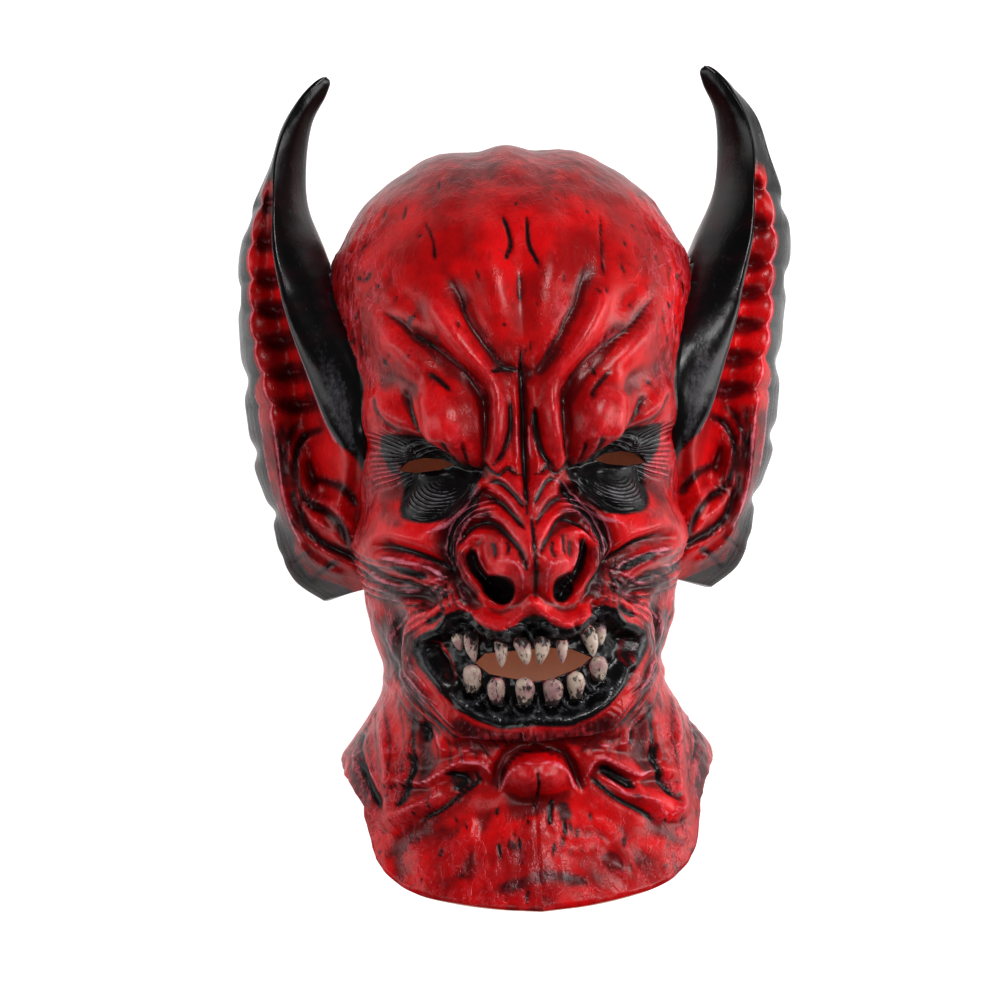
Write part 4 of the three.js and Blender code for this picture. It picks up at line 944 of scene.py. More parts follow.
def carve_mouth(relief):
    """Black lips with a rolled rim and painted highlights along it, the strands and cracks round them, and
    the gums with painted highlights round the teeth.
    """
    inside = inside_distance(relief.x, relief.y, lip_outline())
    relief.paint_black(inside)
    relief.lift += 1.8 * np.exp(-(((inside - 3.2) / 1.7) ** 2))
    relief.lift -= 1.4 * np.exp(-(((inside - 6.4) / 1.5) ** 2))
    # Painted highlight along the rolled rim of the black lips.
    relief.pale = np.maximum(relief.pale, 0.7 * np.exp(-(((inside - 3.2) / 1.1) ** 2)))
    flat = np.stack([relief.x, relief.y, 0 * relief.x], axis=-1)
    relief.lift += smooth(4, 8, inside) * (0.9 * grain(flat, 4, 21) + 0.5 * grain(flat, 2.2, 22))
    beside = smooth(0, -3, inside) * smooth(-20, -13, inside) * smooth(44, 56, np.abs(relief.x))
    beside *= smooth(-70, -78, relief.y) * smooth(-134, -124, relief.y) * 0.9
    strands = (inside + 1.6 * grain(flat, (14, 9, 9), 23)) / STRAND_PITCH
    relief.wrinkles(beside, strands, beside > 0)
    below = smooth(-0.5, -3, inside) * smooth(-14, -8, inside) * smooth(-120, -128, relief.y) * (beside <= 0)
    cracks = np.arctan2(relief.x, MOUTH_Y - relief.y) * CRACK_COUNT + 0.7 * grain(flat, 8, 27)
    relief.wrinkles(0.7 * below * (0.6 + 0.5 * grain(flat, 11, 28)), cracks, below > 0)
    for side, half, points in RED_FOLDS:
        for near, far, ends in relief.lines(side, points, FAR):
            relief.black[near] = np.maximum(relief.black[near], half * ends - far)
            relief.lift[near] += 1.8 * np.clip(1 - (far / (half * 2.2)) ** 2, 0, 1) ** 2
    for teeth, up in ((UPPER_TEETH, 1), (LOWER_TEETH, -1)):
        for x, root_y, _, half, _ in teeth:
            around = np.radians(np.arange(-20, 201, 20))
            reach = half + GUM_ROLL
            gum = [(x + reach * math.cos(a), root_y + up * (reach * math.sin(a) - 1.5)) for a in around]
            relief.ridge(2, 2.4, 2.2, 0, gum)
            # Painted highlight on the gum round each tooth.
            relief.brush(2, 1.4, 0.8, gum)
            relief.cut(2, 1.0, 1.6, 0, [(px + (px - x) * 0.28, py + up * 1.6) for px, py in gum])


def carve_nostrils(relief):
    """Black nostrils."""
    for sign, outline in ((-1, NOSTRIL_LEFT), (1, NOSTRIL_RIGHT)):
        inside = inside_distance(relief.x * sign, relief.y, closed_curve(outline))
        relief.paint_black(inside - 0.5)
        relief.lift -= NOSTRIL_DEPTH * smooth(-0.5, 4.5, inside)


def wrinkle_nose(relief):
    """Wrinkles that run round the wings of the nose."""
    for sign in (1, -1):
        x = relief.x * sign
        y = relief.y
        ring = to_segments(x, y, curved(NOSE_RING))[0]
        beside = smooth(9, 5, ring) * smooth(-60, -50, y) * smooth(12, 20, x)
        beside *= inside_distance(x, y, NOSE_RING) < 0
        relief.wrinkles(beside, ring / RING_PITCH, beside > 0)


def face_relief(x, y):
    """All fine relief and paint of the face, in the order in which it was laid on."""
    relief = Relief(x, y)
    for row in CUTS:
        relief.cut(*row)
    for row in RIDGES:
        relief.ridge(*row)
    for n, row in enumerate(SHEAVES):
        relief.sheaf(*row, seed=SHEAF_SEED + n)
    for row in BRUSHED:
        relief.brush(*row)
    for row in SHADED:
        relief.shade(*row)
    carve_eyes(relief)
    carve_mouth(relief)
    carve_nostrils(relief)
    scattered_cuts(relief)
    wrinkle_nose(relief)
    return relief


def scattered_cuts(relief):
    """Short dark nicks over the forehead and chest, fewer towards the middle line."""
    rng = np.random.default_rng(NICK_SEED)
    for _ in range(NICK_COUNT):
        x = rng.uniform(-NICK_REACH, NICK_REACH)
        y = rng.choice([rng.uniform(40, 150), rng.uniform(-222, -150)], p=[0.6, 0.4])
        if rng.random() > 0.25 + 0.75 * abs(x) / NICK_REACH:
            continue
        lean = rng.normal(0, 0.3) + 0.006 * x
        length = rng.uniform(1.2, 5)
        ends = ((x, y), (x + lean * length, y - length))
        relief.cut(2, rng.uniform(0.3, 0.8), 1.6, rng.uniform(0.35, 0.8), ends)


def roughness_amount(x, y):
    """Where the brushing is coarse, with painted sheen: sides of the forehead, crown, edges of the cheeks,
    neck and chest.
    """
    side = np.abs(x)
    amount = smooth(58, 86, side) * smooth(10, 40, y)
    amount = np.maximum(amount, 0.3 * smooth(128, 158, y))
    amount = np.maximum(amount, 0.9 * smooth(70, 84, side) * smooth(20, 0, y))
    amount = np.maximum(amount, 0.6 * smooth(50, 80, side) * smooth(-60, -80, y))
    return np.maximum(amount, 0.25 * smooth(-184, -200, y))


def row_heights(count):
    """Row heights from crown to cut edge, closer together over the face."""
    ys = np.linspace(CROWN_Y, CUT_Y, HEIGHT_SAMPLES)
    dz = np.gradient(profile(FRONT, ys)) * 0.75
    dx = np.gradient(profile(WIDTH, ys)) * 0.75
    step = np.sqrt(np.gradient(ys) ** 2 + dz**2 + dx**2)
    face = 1 + 1.2 * smooth(62, 42, ys) * smooth(-144, -132, ys)
    brow = 0.35 * smooth(110, 95, ys) * smooth(42, 62, ys)
    face += brow + 0.5 * smooth(-132, -144, ys) * smooth(-196, -186, ys)
    run = np.concatenate([[0], np.cumsum((step * face)[1:])])
    return np.interp(np.linspace(0, run[-1], count), run, ys)


def column_angles(count):
    """Angles round the head, closed, closer together over the face."""
    t = np.linspace(-1, 1, count)
    return np.pi * t * (0.42 + 0.58 * t * t)


def soften(field, reach, times=2):
    """Box blur over rows and columns of a field that closes on itself across its columns."""
    out = field
    for _ in range(times):
        wide = np.concatenate([out[:, -1 - reach:-1], out, out[:, 1:1 + reach]], axis=1)
        sums = np.cumsum(np.pad(wide, ((0, 0), (1, 0))), axis=1)
        out = (sums[:, 2 * reach + 1:] - sums[:, :-2 * reach - 1]) / (2 * reach + 1)
        tall = np.pad(out, ((reach, reach), (0, 0)), mode="edge")
        sums = np.cumsum(np.pad(tall, ((1, 0), (0, 0))), axis=0)
        out = (sums[2 * reach + 1:] - sums[:-2 * reach - 1]) / (2 * reach + 1)
    return out


def lowest(field, reach):
    """Lowest value near each place of a field that closes on itself across its columns."""
    out = field.copy()
    for k in range(-reach, reach + 1):
        out = np.minimum(out, np.roll(field, k, axis=1))
    rows = out.copy()
    for k in range(1, reach + 1):
        rows[k:] = np.minimum(rows[k:], out[:-k])
        rows[:-k] = np.minimum(rows[:-k], out[k:])
    return rows


def part_frame(points):
    """Sculptor's millimetres to the part's metres."""
    return (np.array(points, float) - (MIDDLE_X, MIDDLE_Y, FLAT_Z)) * MM


def grid_mesh(name, points, fields):
    """Mesh over a grid of points, welded where its edges meet, with the painted amounts on its vertices."""
    rows, cols = points.shape[:2]
    mesh = bpy.data.meshes.new(name)
    bm = bmesh.new()
    bmesh.ops.create_grid(bm, x_segments=cols - 1, y_segments=rows - 1, size=1.0)
    bm.to_mesh(mesh)
    bm.free()
    count = len(mesh.vertices)
    flat = np.empty(count * 3)
    mesh.vertices.foreach_get("co", flat)
    flat = flat.reshape(-1, 3)
    col = np.rint((flat[:, 0] + 1) / 2 * (cols - 1)).astype(int)
    row = np.rint((flat[:, 1] + 1) / 2 * (rows - 1)).astype(int)
    mesh.vertices.foreach_set("co", part_frame(points[row, col]).ravel())
    for key, plain in FIELDS.items():
        layer = mesh.attributes.new(key, "FLOAT", "POINT")
        value = np.broadcast_to(fields.get(key, plain), (rows, cols))[row, col]
        layer.data.foreach_set("value", value.astype(np.float32))
    bm = bmesh.new()
    bm.from_mesh(mesh)
    bmesh.ops.remove_doubles(bm, verts=bm.verts, dist=WELD)
    bmesh.ops.dissolve_degenerate(bm, edges=bm.edges, dist=SHORTEST_EDGE)
    bmesh.ops.recalc_face_normals(bm, faces=bm.faces)
    bm.to_mesh(mesh)
    if bm.calc_volume(signed=True) < 0:
        mesh.flip_normals()
    bm.free()
    return mesh


def unevenness(base, rough):
    """Unevenness of the cast skin, and its crumples on the bib and where the brushing is coarse."""
    uneven = 0.35 * grain(base, 11, 1) + 0.16 * grain(base, 4.5, 2) + 0.6 * rough * grain(base, (3, 6, 3), 3)
    crumpled = 0.35 * rough + 0.95 * smooth(-156, -186, base[..., 1])
    leaned = base + 6 * grain(base, 22, 4)[..., None] + base[..., 1:2] * (0.4, 0, 0) * np.sign(base[..., :1])
    uneven += crumpled * (1 - 2.4 * np.abs(grain(leaned, 15, 6))) + 0.3 * crumpled * grain(leaned, 7, 8)
    return uneven


def shell_mesh(columns, rows, inner_rows):
    """Outer skin from crown to cut edge, then the inner skin back to the crown."""
    angle, straight = np.meshgrid(column_angles(columns), row_heights(rows))
    base = head_points(angle, straight)
    normal = head_normals(angle, straight)
    x = base[..., 0]
    y = base[..., 1]
    front = np.maximum(smooth(-0.15, 0.25, np.cos(angle)), smooth(135, 155, y))
    relief = face_relief(x, y)
    rough = roughness_amount(x, y) * front
    lift = (carving(x, y) + relief.lift + unevenness(base, rough)) * front
    inner_lift = soften(lowest(lift, 7), 4) - WALL
    outer = base + normal * lift[..., None]
    outer[..., 2] = np.maximum(outer[..., 2], FLAT_Z)
    picks = np.unique(np.rint(np.linspace(0, rows - 1, inner_rows)).astype(int))[::-1]
    inner = (base + normal * inner_lift[..., None])[picks]
    inner[..., 2] = np.maximum(inner[..., 2], FLAT_Z + WALL)
    outer[0] = outer[0].mean(axis=0)
    inner[-1] = inner[-1].mean(axis=0)
    points = np.concatenate([outer, inner])
    points[:, -1] = points[:, 0]
    fine = np.clip((lift - soften(lift, 3)) / 0.9, -1, 1)
    broad = np.clip((lift - soften(lift, 8)) / 2.4, -1, 1)
    behind = FAR * (1 - front)
    # Darker paint round the inked creases, and towards the crown.
    folds = front * np.maximum(relief.dark, 0.35 * smooth(3, 0, relief.ink))
    outside = {
        "ink": relief.ink + behind,
        "light": relief.light + behind,
        "black": relief.black + behind,
        "pale": relief.pale * front,
        "rough": rough,
        "bend": (0.6 * fine + 0.4 * broad) * front,
        "turn": relief.turn,
        "furrow": relief.furrow * front,
        "shade": np.maximum(0.5 * smooth(112, 158, y), folds),
    }
    inside = np.ones((len(picks), columns))
    fields = {key: np.concatenate([value, FIELDS[key] * inside]) for key, value in outside.items()}
    fields["raw"] = np.concatenate([np.zeros((rows, columns)), inside])
    return grid_mesh("shell", points, fields)


def rail(index, station):
    """Points of one rail of the ear at stations along it."""
    values = np.array([row[index] for row in EAR], float)
    k = np.clip(np.floor(station).astype(int), 0, len(EAR) - 2)
    t = (station - k)[..., None]
    a = values[np.clip(k - 1, 0, len(EAR) - 1)]
    b = values[k]
    c = values[k + 1]
    d = values[np.clip(k + 2, 0, len(EAR) - 1)]
    return spline(a, b, c, d, t)


def ear_rings(side, station):
    """Control points of rings across the ear: front from the head to the rim, then the back."""
    head = rail(0, station)
    lip = rail(1, station)
    valley = rail(2, station)
    ridge = rail(3, station)
    rim = rail(4, station)
    spread = profile(RIGHT_FIN, station) if side > 0 else 0
    ridge[..., 0] += spread * 0.3
    rim[..., 0] += spread
    first = LOBE_ENDS[0]
    last = LOBE_ENDS[-1]
    lobed = smooth(first, first + 0.7, station) * smooth(last + 0.1, last - 0.5, station)
    turn = np.interp(station, LOBE_ENDS, np.arange(len(LOBE_ENDS)))
    pillow = np.abs(np.sin(turn * math.pi)) ** 0.6
    blade = 1 - smooth(9.2, 10.6, station)
    crest = (head + lip) / 2
    crest[..., 2] += 4 * blade * smooth(0, 2, station)
    under = lip + (valley - lip) * 0.45
    under[..., 0] -= 3 * blade
    slope = (valley + ridge) / 2
    slope[..., 2] += LOBE_LIFT * lobed * (pillow - 0.4)
    ridge[..., 0] -= SCALLOP * lobed * (1 - pillow) * 0.9
    ridge[..., 2] += LOBE_LIFT * 0.6 * lobed * (pillow - 0.5)
    valley[..., 2] += LOBE_LIFT * 0.8 * lobed * (pillow - 0.5)
    fin = (ridge + rim) / 2
    ribbed = smooth(RIB_FROM, RIB_FROM + 0.8, station)
    fin[..., 0] += 1.5 * ribbed * (1 - smooth(RIB_TO - 0.8, RIB_TO, station))
    phase = (station - RIB_FROM) / (RIB_TO - RIB_FROM) * RIB_COUNT
    fold = smooth(3.5, 4.5, station) * (1 - smooth(12.5, 13.5, station))
    rim[..., 0] -= SCALLOP * fold * (0.5 + 0.5 * np.cos(phase * math.pi)) ** 4
    thick = EAR_SKIN * smooth(0, 2.5, station) + 1.2
    behind_rim = rim.copy()
    behind_rim[..., 0] -= thick * 0.7
    behind_rim[..., 2] -= thick * 0.8
    behind = (valley + ridge) / 2
    behind[..., 2] = np.minimum(behind[..., 2], rim[..., 2]) - thick * 0.9 - 5 * smooth(3, 6, station)
    reach = smooth(3.6, 5.6, station)
    root = head.copy()
    root[..., 2] = np.minimum(head[..., 2], valley[..., 2]) - thick - 22 * reach
    middle = (behind + root) / 2
    middle[..., 2] -= 5 * reach
    ring = [head, crest, lip, under, valley, slope, ridge, fin, rim, behind_rim, behind, middle, root]
    ring = np.stack(ring, axis=-2)
    round_off = np.sqrt(np.clip(1 - np.clip(1 - station / TIP_STATIONS, 0, 1) ** 2, 0.01, 1))[..., None, None]
    middle = ring.mean(axis=-2, keepdims=True)
    return middle + (ring - middle) * round_off, turn, lobed


def placed_ear(points, side):
    """The ear on its side of the head, with the lean of the photographed mask."""
    out = np.array(points, float)
    lean = EAR_LEAN * np.maximum(0, out[..., 1] - LEAN_FROM_Y)
    out[..., 0] = side * out[..., 0] + lean
    return out


def ear_places(front_span, back_span):
    """Places along a ring: whole numbers are its control points, closer together on the front."""
    places = [np.linspace(k, k + 1, front_span + 1)[:-1] for k in range(EAR_FRONT)]
    places += [np.linspace(k, k + 1, back_span + 1)[:-1] for k in range(EAR_FRONT, EAR_POINTS)]
    return np.concatenate(places + [[float(EAR_POINTS)]])


def ring_surface(control, u):
    """Closed smooth rings through their control points, at the places u along them."""
    k = np.floor(u).astype(int) % EAR_POINTS
    t = (u - np.floor(u))[None, :, None]
    a = control[:, (k - 1) % EAR_POINTS]
    b = control[:, k]
    c = control[:, (k + 1) % EAR_POINTS]
    d = control[:, (k + 2) % EAR_POINTS]
    m0 = (c - a) * EAR_TENSION
    m1 = (d - b) * EAR_TENSION
    return (
        (2 * t**3 - 3 * t**2 + 1) * b + (t**3 - 2 * t**2 + t) * m0
        + (3 * t**2 - 2 * t**3) * c + (t**3 - t**2) * m1
    )


def ear_black(s, place, hollow, fin_from, uneven):
    """Distance from the ear's black paint: blade, outer fin, tip and lobe, and painted shadow in the hollows
    between the lobes.
    """
    blade_end = BLADE_END - 0.5 * np.clip(place, 0, 3)
    blade = np.maximum((place - BLADE_PLACE) * 4, (s - blade_end) * 6 + uneven)
    blade = np.where(place > 4, FAR, np.maximum(blade, -FAR))
    outer = np.where(place > RIM_PLACE, (place - RIM_PLACE) * 5, (fin_from - place) * 7)
    outer = np.maximum(outer, -FAR)
    tip = (s - 3.4) * 5
    lobe = (LOBE_EDGE + 0.5 * uneven - place - 1.3 * smooth(13.6, 15, s)) * 4
    lobe = np.maximum(lobe, (11.6 - s) * 5)
    return np.minimum(np.minimum(blade, outer), np.minimum(np.minimum(tip, lobe), hollow + 2.9))


def ear_light(s, place, hollow, fin_from, light):
    """Distance from the ear's pale lines: painted highlights along the blade's edge, the ridge, the fin's
    edge and in the hollows between the lobes, and the drawn ones.
    """
    line = np.abs(place - BLADE_LINE) * 8 - 1.5 + FAR * smooth(BLADE_END - 1.2, BLADE_END - 0.6, s)
    edge = np.abs(place - RIDGE_PLACE) * 9 - 0.9
    edge += FAR * (1 - smooth(3.2, 3.8, s)) + FAR * smooth(12.5, 13.2, s)
    second = np.abs(place - fin_from) * 8 - 0.6
    second += FAR * (1 - smooth(7.8, 8.3, s)) + FAR * smooth(11.5, 12, s)
    nearest = np.minimum(np.minimum(line, edge), np.minimum(second, light))
    return np.minimum(nearest, hollow + 2.8)


def ear_mesh(side, rows, front_span):
    """Closed skin of one ear. Rows run from its tip to its lobe, and places run round a ring across it."""
    station = np.linspace(0, len(EAR) - 1, rows)
    control, turn, lobed = ear_rings(side, station)
    u = ear_places(front_span, BACK_SPAN)
    points = ring_surface(control, u)
    s = station[:, None] + 0 * u[None, :]
    place = (u % EAR_POINTS)[None, :] + 0 * s
    turn = turn[:, None] + 0 * s
    lobed = lobed[:, None] + 0 * s
    ahead = smooth(8.2, 7.2, place) * smooth(0, 0.6, place)
    relief = Relief(points[..., 0], points[..., 1])
    for row in EAR_CUTS:
        relief.cut(2, *row)
    for row in EAR_RIDGES:
        relief.ridge(2, *row)
    relief.lift -= CONCHA_DEPTH * smooth(-0.5, 4, inside_distance(relief.x, relief.y, CONCHA))
    low = smooth(8.6, 9.2, s)
    seam = np.abs(turn - np.round(turn)) * LOBE_PITCH
    hollow = (np.hypot(seam / 3.8, (place - HOLLOW_PLACE) / 1.3) - 1) * 3.0 + 6 * (1 - lobed)
    uneven = 0.25 * grain(points, (3, 14, 3), 5) + 0.2 * grain(points, 6, 6)
    push = (relief.lift * low - 2.4 * smooth(1.5, -2.5, hollow) + uneven) * ahead
    points[..., 2] += push
    fin_from = FIN_PLACE + 0.55 * smooth(7.6, 8.4, s) * smooth(12.4, 11.6, s) + smooth(12.2, 13.4, s)
    membrane = smooth(2.4, 3.2, s) * smooth(8.2, 6.4, s) * smooth(1.0, 0.4, place)
    # The lower ear is darker round its creases and towards its rim; round the hollows between the lobes the
    # red gets painted shade.
    low_shade = low * np.maximum(smooth(3.0, 6.5, place) * 0.6, 0.8 * smooth(5, 0, relief.ink))
    seam_shade = np.maximum(0.6 * smooth(4.5, 0, hollow), low_shade)
    # Painted highlights on the black blade: a broad sheen low down its middle, and a faint one along its
    # length.
    sheen = 0.6 * smooth(7.0, 8.4, s) * smooth(10.4, 9.4, s)
    sheen *= smooth(0.7, 1.1, place) * smooth(1.9, 1.4, place)
    blade_highlight = 0.25 * smooth(0.3, 1.0, place) * smooth(2.0, 1.2, place)
    fin_furrow = 0.12 * smooth(6.8, 7.3, place) * smooth(8.7, 8.2, place)
    fin_turn = place * 3.2 + 0.4 * grain(points, 18, 9)
    fields = {
        "ink": relief.ink + FAR * (1 - low) + FAR * (1 - ahead),
        "light": ear_light(s, place, hollow, fin_from, relief.light + FAR * (1 - low)),
        "black": ear_black(s, place, hollow, fin_from, grain(points, 9, 10)),
        "shade": np.maximum(0.95 * membrane, seam_shade),
        # Painted highlights on the blade and in the middle of the hollows between the lobes.
        "pale": np.maximum(blade_highlight, smooth(-1.5, -2.6, hollow)) + sheen,
        "rough": smooth(6.3, 7, place) * 0.2,
        "bend": np.clip(push / 3, -1, 1),
        "turn": np.where(place < 6, turn * 7 + place * 0.6, fin_turn),
        # Streaks in the hollows between the lobes: painted highlight on their crests and painted shade
        # between them.
        "furrow": np.maximum(fin_furrow, 0.35 * smooth(0.5, -1.5, hollow)),
    }
    first = points[:1].mean(axis=1, keepdims=True) + np.zeros_like(points[:1])
    last = points[-1:].mean(axis=1, keepdims=True) + np.zeros_like(points[-1:])
    points = np.concatenate([first, points, last])
    fields = {key: np.concatenate([value[:1], value, value[-1:]]) for key, value in fields.items()}
    return grid_mesh("ear", placed_ear(points, side), fields)


def closed_loft(name, rings, fields):
    """Closed skin over rings of points, drawn to a point at both ends."""
    rings = np.array(rings, float)
    rings = np.concatenate([rings, rings[:, :1]], axis=1)
    first = rings[:1, :-1].mean(axis=1, keepdims=True) + np.zeros_like(rings[:1])
    last = rings[-1:, :-1].mean(axis=1, keepdims=True) + np.zeros_like(rings[-1:])
    return grid_mesh(name, np.concatenate([first, rings, last]), fields)


def hollow_mesh(side):
    """Room inside the ear, a skin's thickness within its rings and open to the head."""
    rings = []
    control = ear_rings(side, np.array(HOLLOW_STATIONS))[0]
    for ring in control:
        rings.append([(side * (ring[i][0] + dx), ring[i][1], ring[i][2] + dz) for i, dx, dz in HOLLOW_SHIFTS])
    return closed_loft("hollow", rings, {"raw": 1.0})


def prism_mesh(outline, side, low, high):
    """Block with a given outline, between two depths."""
    near = [(side * px, py, low) for px, py in outline]
    far = [(side * px, py, high) for px, py in outline]
    return closed_loft("gap", [near, far], {"black": -FAR})


def face_depth(x, y):
    """Depth of the carved face at one point seen from the front."""
    xs = np.array([float(x)])
    ys = np.array([float(y)])
    width = profile(WIDTH, ys)
    deep = profile(FRONT, ys) - AXIS_Z
    flat = (1 - (np.abs(xs) / width) ** FRONT_POWER) ** (1 / FRONT_POWER)
    return float((AXIS_Z + deep * flat + carving(xs, ys))[0])


def tooth_mesh(x, root_y, tip_y, half, lean, seed):
    """One tooth, uneven and bowed a little, stained at its root."""
    rng = np.random.default_rng(seed)
    rows = np.linspace(0, 1, TOOTH_ROWS)
    around = np.linspace(0, 2 * math.pi, TOOTH_SIDES, endpoint=False)
    upper = tip_y < root_y
    shape = profile(FANG if upper else STUMP, rows)
    z = face_depth(x, (root_y + tip_y) / 2) - 0.5
    dent = rng.normal(0, 0.03, (len(rows), len(around)))
    bow = rng.uniform(-0.8, 0.8)
    rings = []
    for n, t in enumerate(rows):
        wide = half * shape[n] * (1 + dent[n])
        px = x + lean * t + bow * math.sin(math.pi * t) + np.cos(around) * wide
        py = np.full(len(around), root_y + (tip_y - root_y) * t)
        pz = z + TOOTH_RAKE * t + np.sin(around) * wide * 0.85
        rings.append(np.stack([px, py, pz], axis=-1))
    stain = np.broadcast_to(smooth(0.45, 0.0, rows)[:, None], (len(rows), len(around) + 1))
    stain = np.concatenate([stain[:1], stain, stain[-1:]])
    return closed_loft("tooth", rings, {"bone": 1.0, "shade": stain})


def mesh_object(mesh):
    """New object of the scene that holds a mesh."""
    thing = bpy.data.objects.new(mesh.name, mesh)
    bpy.context.scene.collection.objects.link(thing)
    return thing


def joined(meshes):
    """One mesh holding several that don't touch each other."""
    bm = bmesh.new()
    for mesh in meshes:
        bm.from_mesh(mesh)
    out = bpy.data.meshes.new("joined")
    bm.to_mesh(out)
    bm.free()
    for mesh in meshes:
        bpy.data.meshes.remove(mesh)
    return out


def carve_with(body, operation, tool_mesh):
    """Joins or cuts a body with another closed mesh, which is used up."""
    tool = mesh_object(tool_mesh)
    step = body.modifiers.new("join", "BOOLEAN")
    step.operation = operation
    step.solver = "MANIFOLD"
    step.object = tool
    graph = bpy.context.evaluated_depsgraph_get()
    mesh = bpy.data.meshes.new_from_object(body.evaluated_get(graph), depsgraph=graph)
    if len(mesh.vertices) == len(body.data.vertices):
        raise RuntimeError("a piece of the mask could not be joined: " + tool.name)
    body.modifiers.remove(step)
    old = body.data
    body.data = mesh
    bpy.data.meshes.remove(old)
    bpy.data.objects.remove(tool)
    bpy.data.meshes.remove(tool_mesh)


def drop_crumbs(body):
    """Removes specks that the joining leaves beside the skin."""
    bm = bmesh.new()
    bm.from_mesh(body.data)
    waiting = set(bm.verts)
    while waiting:
        group = {waiting.pop()}
        fresh = list(group)
        while fresh:
            for edge in fresh.pop().link_edges:
                for vert in edge.verts:
                    if vert in waiting:
                        waiting.remove(vert)
                        group.add(vert)
                        fresh.append(vert)
        if len(group) < SPECK_POINTS:
            bmesh.ops.delete(bm, geom=list(group), context="VERTS")
    bm.to_mesh(body.data)
    bm.free()


def build_mask(detail):
    """The mask as one closed skin: head, ears, their hollows, the gaps cut through, and the teeth."""
    body = mesh_object(shell_mesh(detail.columns, detail.rows, detail.inner_rows))
    ears = [ear_mesh(side, detail.ear_rows, detail.ear_span) for side in (1, -1)]
    carve_with(body, "UNION", joined(ears))
    carve_with(body, "DIFFERENCE", joined([hollow_mesh(1), hollow_mesh(-1)]))
    gaps = [prism_mesh(MOUTH_GAP, 1, *MOUTH_GAP_Z)]
    gaps += [prism_mesh(EYE_GAP, side, *EYE_GAP_Z) for side in (1, -1)]
    carve_with(body, "DIFFERENCE", joined(gaps))
    for n, row in enumerate(UPPER_TEETH + LOWER_TEETH):
        carve_with(body, "UNION", tooth_mesh(*row, seed=TOOTH_SEED + n))
    drop_crumbs(body)
    body.name = "demon_mask_skin"
    body.data.name = "demon_mask_skin"
    body.data.shade_smooth()
    return body


class Socket:
    """One output of a node, used like a number in an expression."""

    def __init__(self, paint, output):
        self.paint = paint
        self.output = output

    def joined_by(self, operation, first, second):
        """Two values put through one Math node."""
        node = self.paint.node("ShaderNodeMath", {"operation": operation}, {0: first, 1: second})
        return Socket(self.paint, node.outputs[0])

    def __add__(self, other):
        return self.joined_by("ADD", self, other)

    def __radd__(self, other):
        return self.joined_by("ADD", other, self)

    def __sub__(self, other):
        return self.joined_by("SUBTRACT", self, other)

    def __rsub__(self, other):
        return self.joined_by("SUBTRACT", other, self)

    def __mul__(self, other):
        return self.joined_by("MULTIPLY", self, other)

    def __rmul__(self, other):
        return self.joined_by("MULTIPLY", other, self)

    def size(self):
        """The value without its sign."""
        node = self.paint.node("ShaderNodeMath", {"operation": "ABSOLUTE"}, {0: self})
        return Socket(self.paint, node.outputs[0])

    def wave(self):
        """A wave from -1 to 1 that repeats at every whole number."""
        node = self.paint.node("ShaderNodeMath", {"operation": "SINE"}, {0: self * math.tau})
        return Socket(self.paint, node.outputs[0])

    def step(self, low, high):
        """From 0 at one value to 1 at the other, smoothly."""
        settings = {"interpolation_type": "SMOOTHSTEP"}
        values = {"Value": self, "From Min": low, "From Max": high}
        return Socket(self.paint, self.paint.node("ShaderNodeMapRange", settings, values).outputs["Result"])


class Paint:
    """A material's nodes."""

    def __init__(self, name):
        self.material = bpy.data.materials.new(name)
        self.material.use_nodes = True
        self.tree = self.material.node_tree
        self.tree.nodes.clear()
        self.place = Socket(self, self.node("ShaderNodeTexCoord").outputs["Object"])

    def node(self, kind, settings=None, values=None):
        """Adds a node: its settings first, then the values or links of its sockets."""
        node = self.tree.nodes.new(kind)
        for key, value in (settings or {}).items():
            setattr(node, key, value)
        for key, value in (values or {}).items():
            if isinstance(value, Socket):
                self.tree.links.new(value.output, node.inputs[key])
            else:
                node.inputs[key].default_value = value
        return node

    def field(self, name):
        """A painted amount of the vertices."""
        return Socket(self, self.node("ShaderNodeAttribute", {"attribute_name": name}).outputs["Fac"])

    def noise(self, scale, detail=4.0, rough=0.6, stretch=(1, 1, 1), shift=(0, 0, 0)):
        """Smooth noise round 0.5, with a scale in cells to a metre."""
        moved = {"Vector": self.place, "Scale": stretch, "Location": shift}
        place = Socket(self, self.node("ShaderNodeMapping", None, moved).outputs[0])
        values = {"Vector": place, "Scale": scale, "Detail": detail, "Roughness": rough}
        return Socket(self, self.node("ShaderNodeTexNoise", None, values).outputs["Fac"])

    def blend(self, amount, first, second):
        """From the first colour to the second as the amount goes from 0 to 1."""
        values = {0: amount, 6: first, 7: second}
        settings = {"data_type": "RGBA"}
        return Socket(self, self.node("ShaderNodeMix", settings, values).outputs[2])

    def finish(self, colour, roughness, height, depth, distance, glow=0.0):
        """Ends the material in its shader, with bumps of a strength and a distance in metres."""
        bump = self.node("ShaderNodeBump", None, {"Height": height, "Strength": depth, "Distance": distance})
        values = {
            "Base Color": colour, "Roughness": roughness, "IOR": SKIN_IOR,
            "Normal": Socket(self, bump.outputs[0]),
            "Emission Color": (1, 1, 1, 1), "Emission Strength": glow,
        }
        shader = self.node("ShaderNodeBsdfPrincipled", None, values)
        self.node("ShaderNodeOutputMaterial", None, {"Surface": Socket(self, shader.outputs[0])})
        return self.material


def linear(colour):
    """Screen colour from 0 to 255 to the renderer's linear values."""
    out = []
    for value in colour:
        c = value / 255
        out.append(c / 12.92 if c <= 0.04045 else ((c + 0.055) / 1.055) ** 2.4)
    return (*out, 1.0)


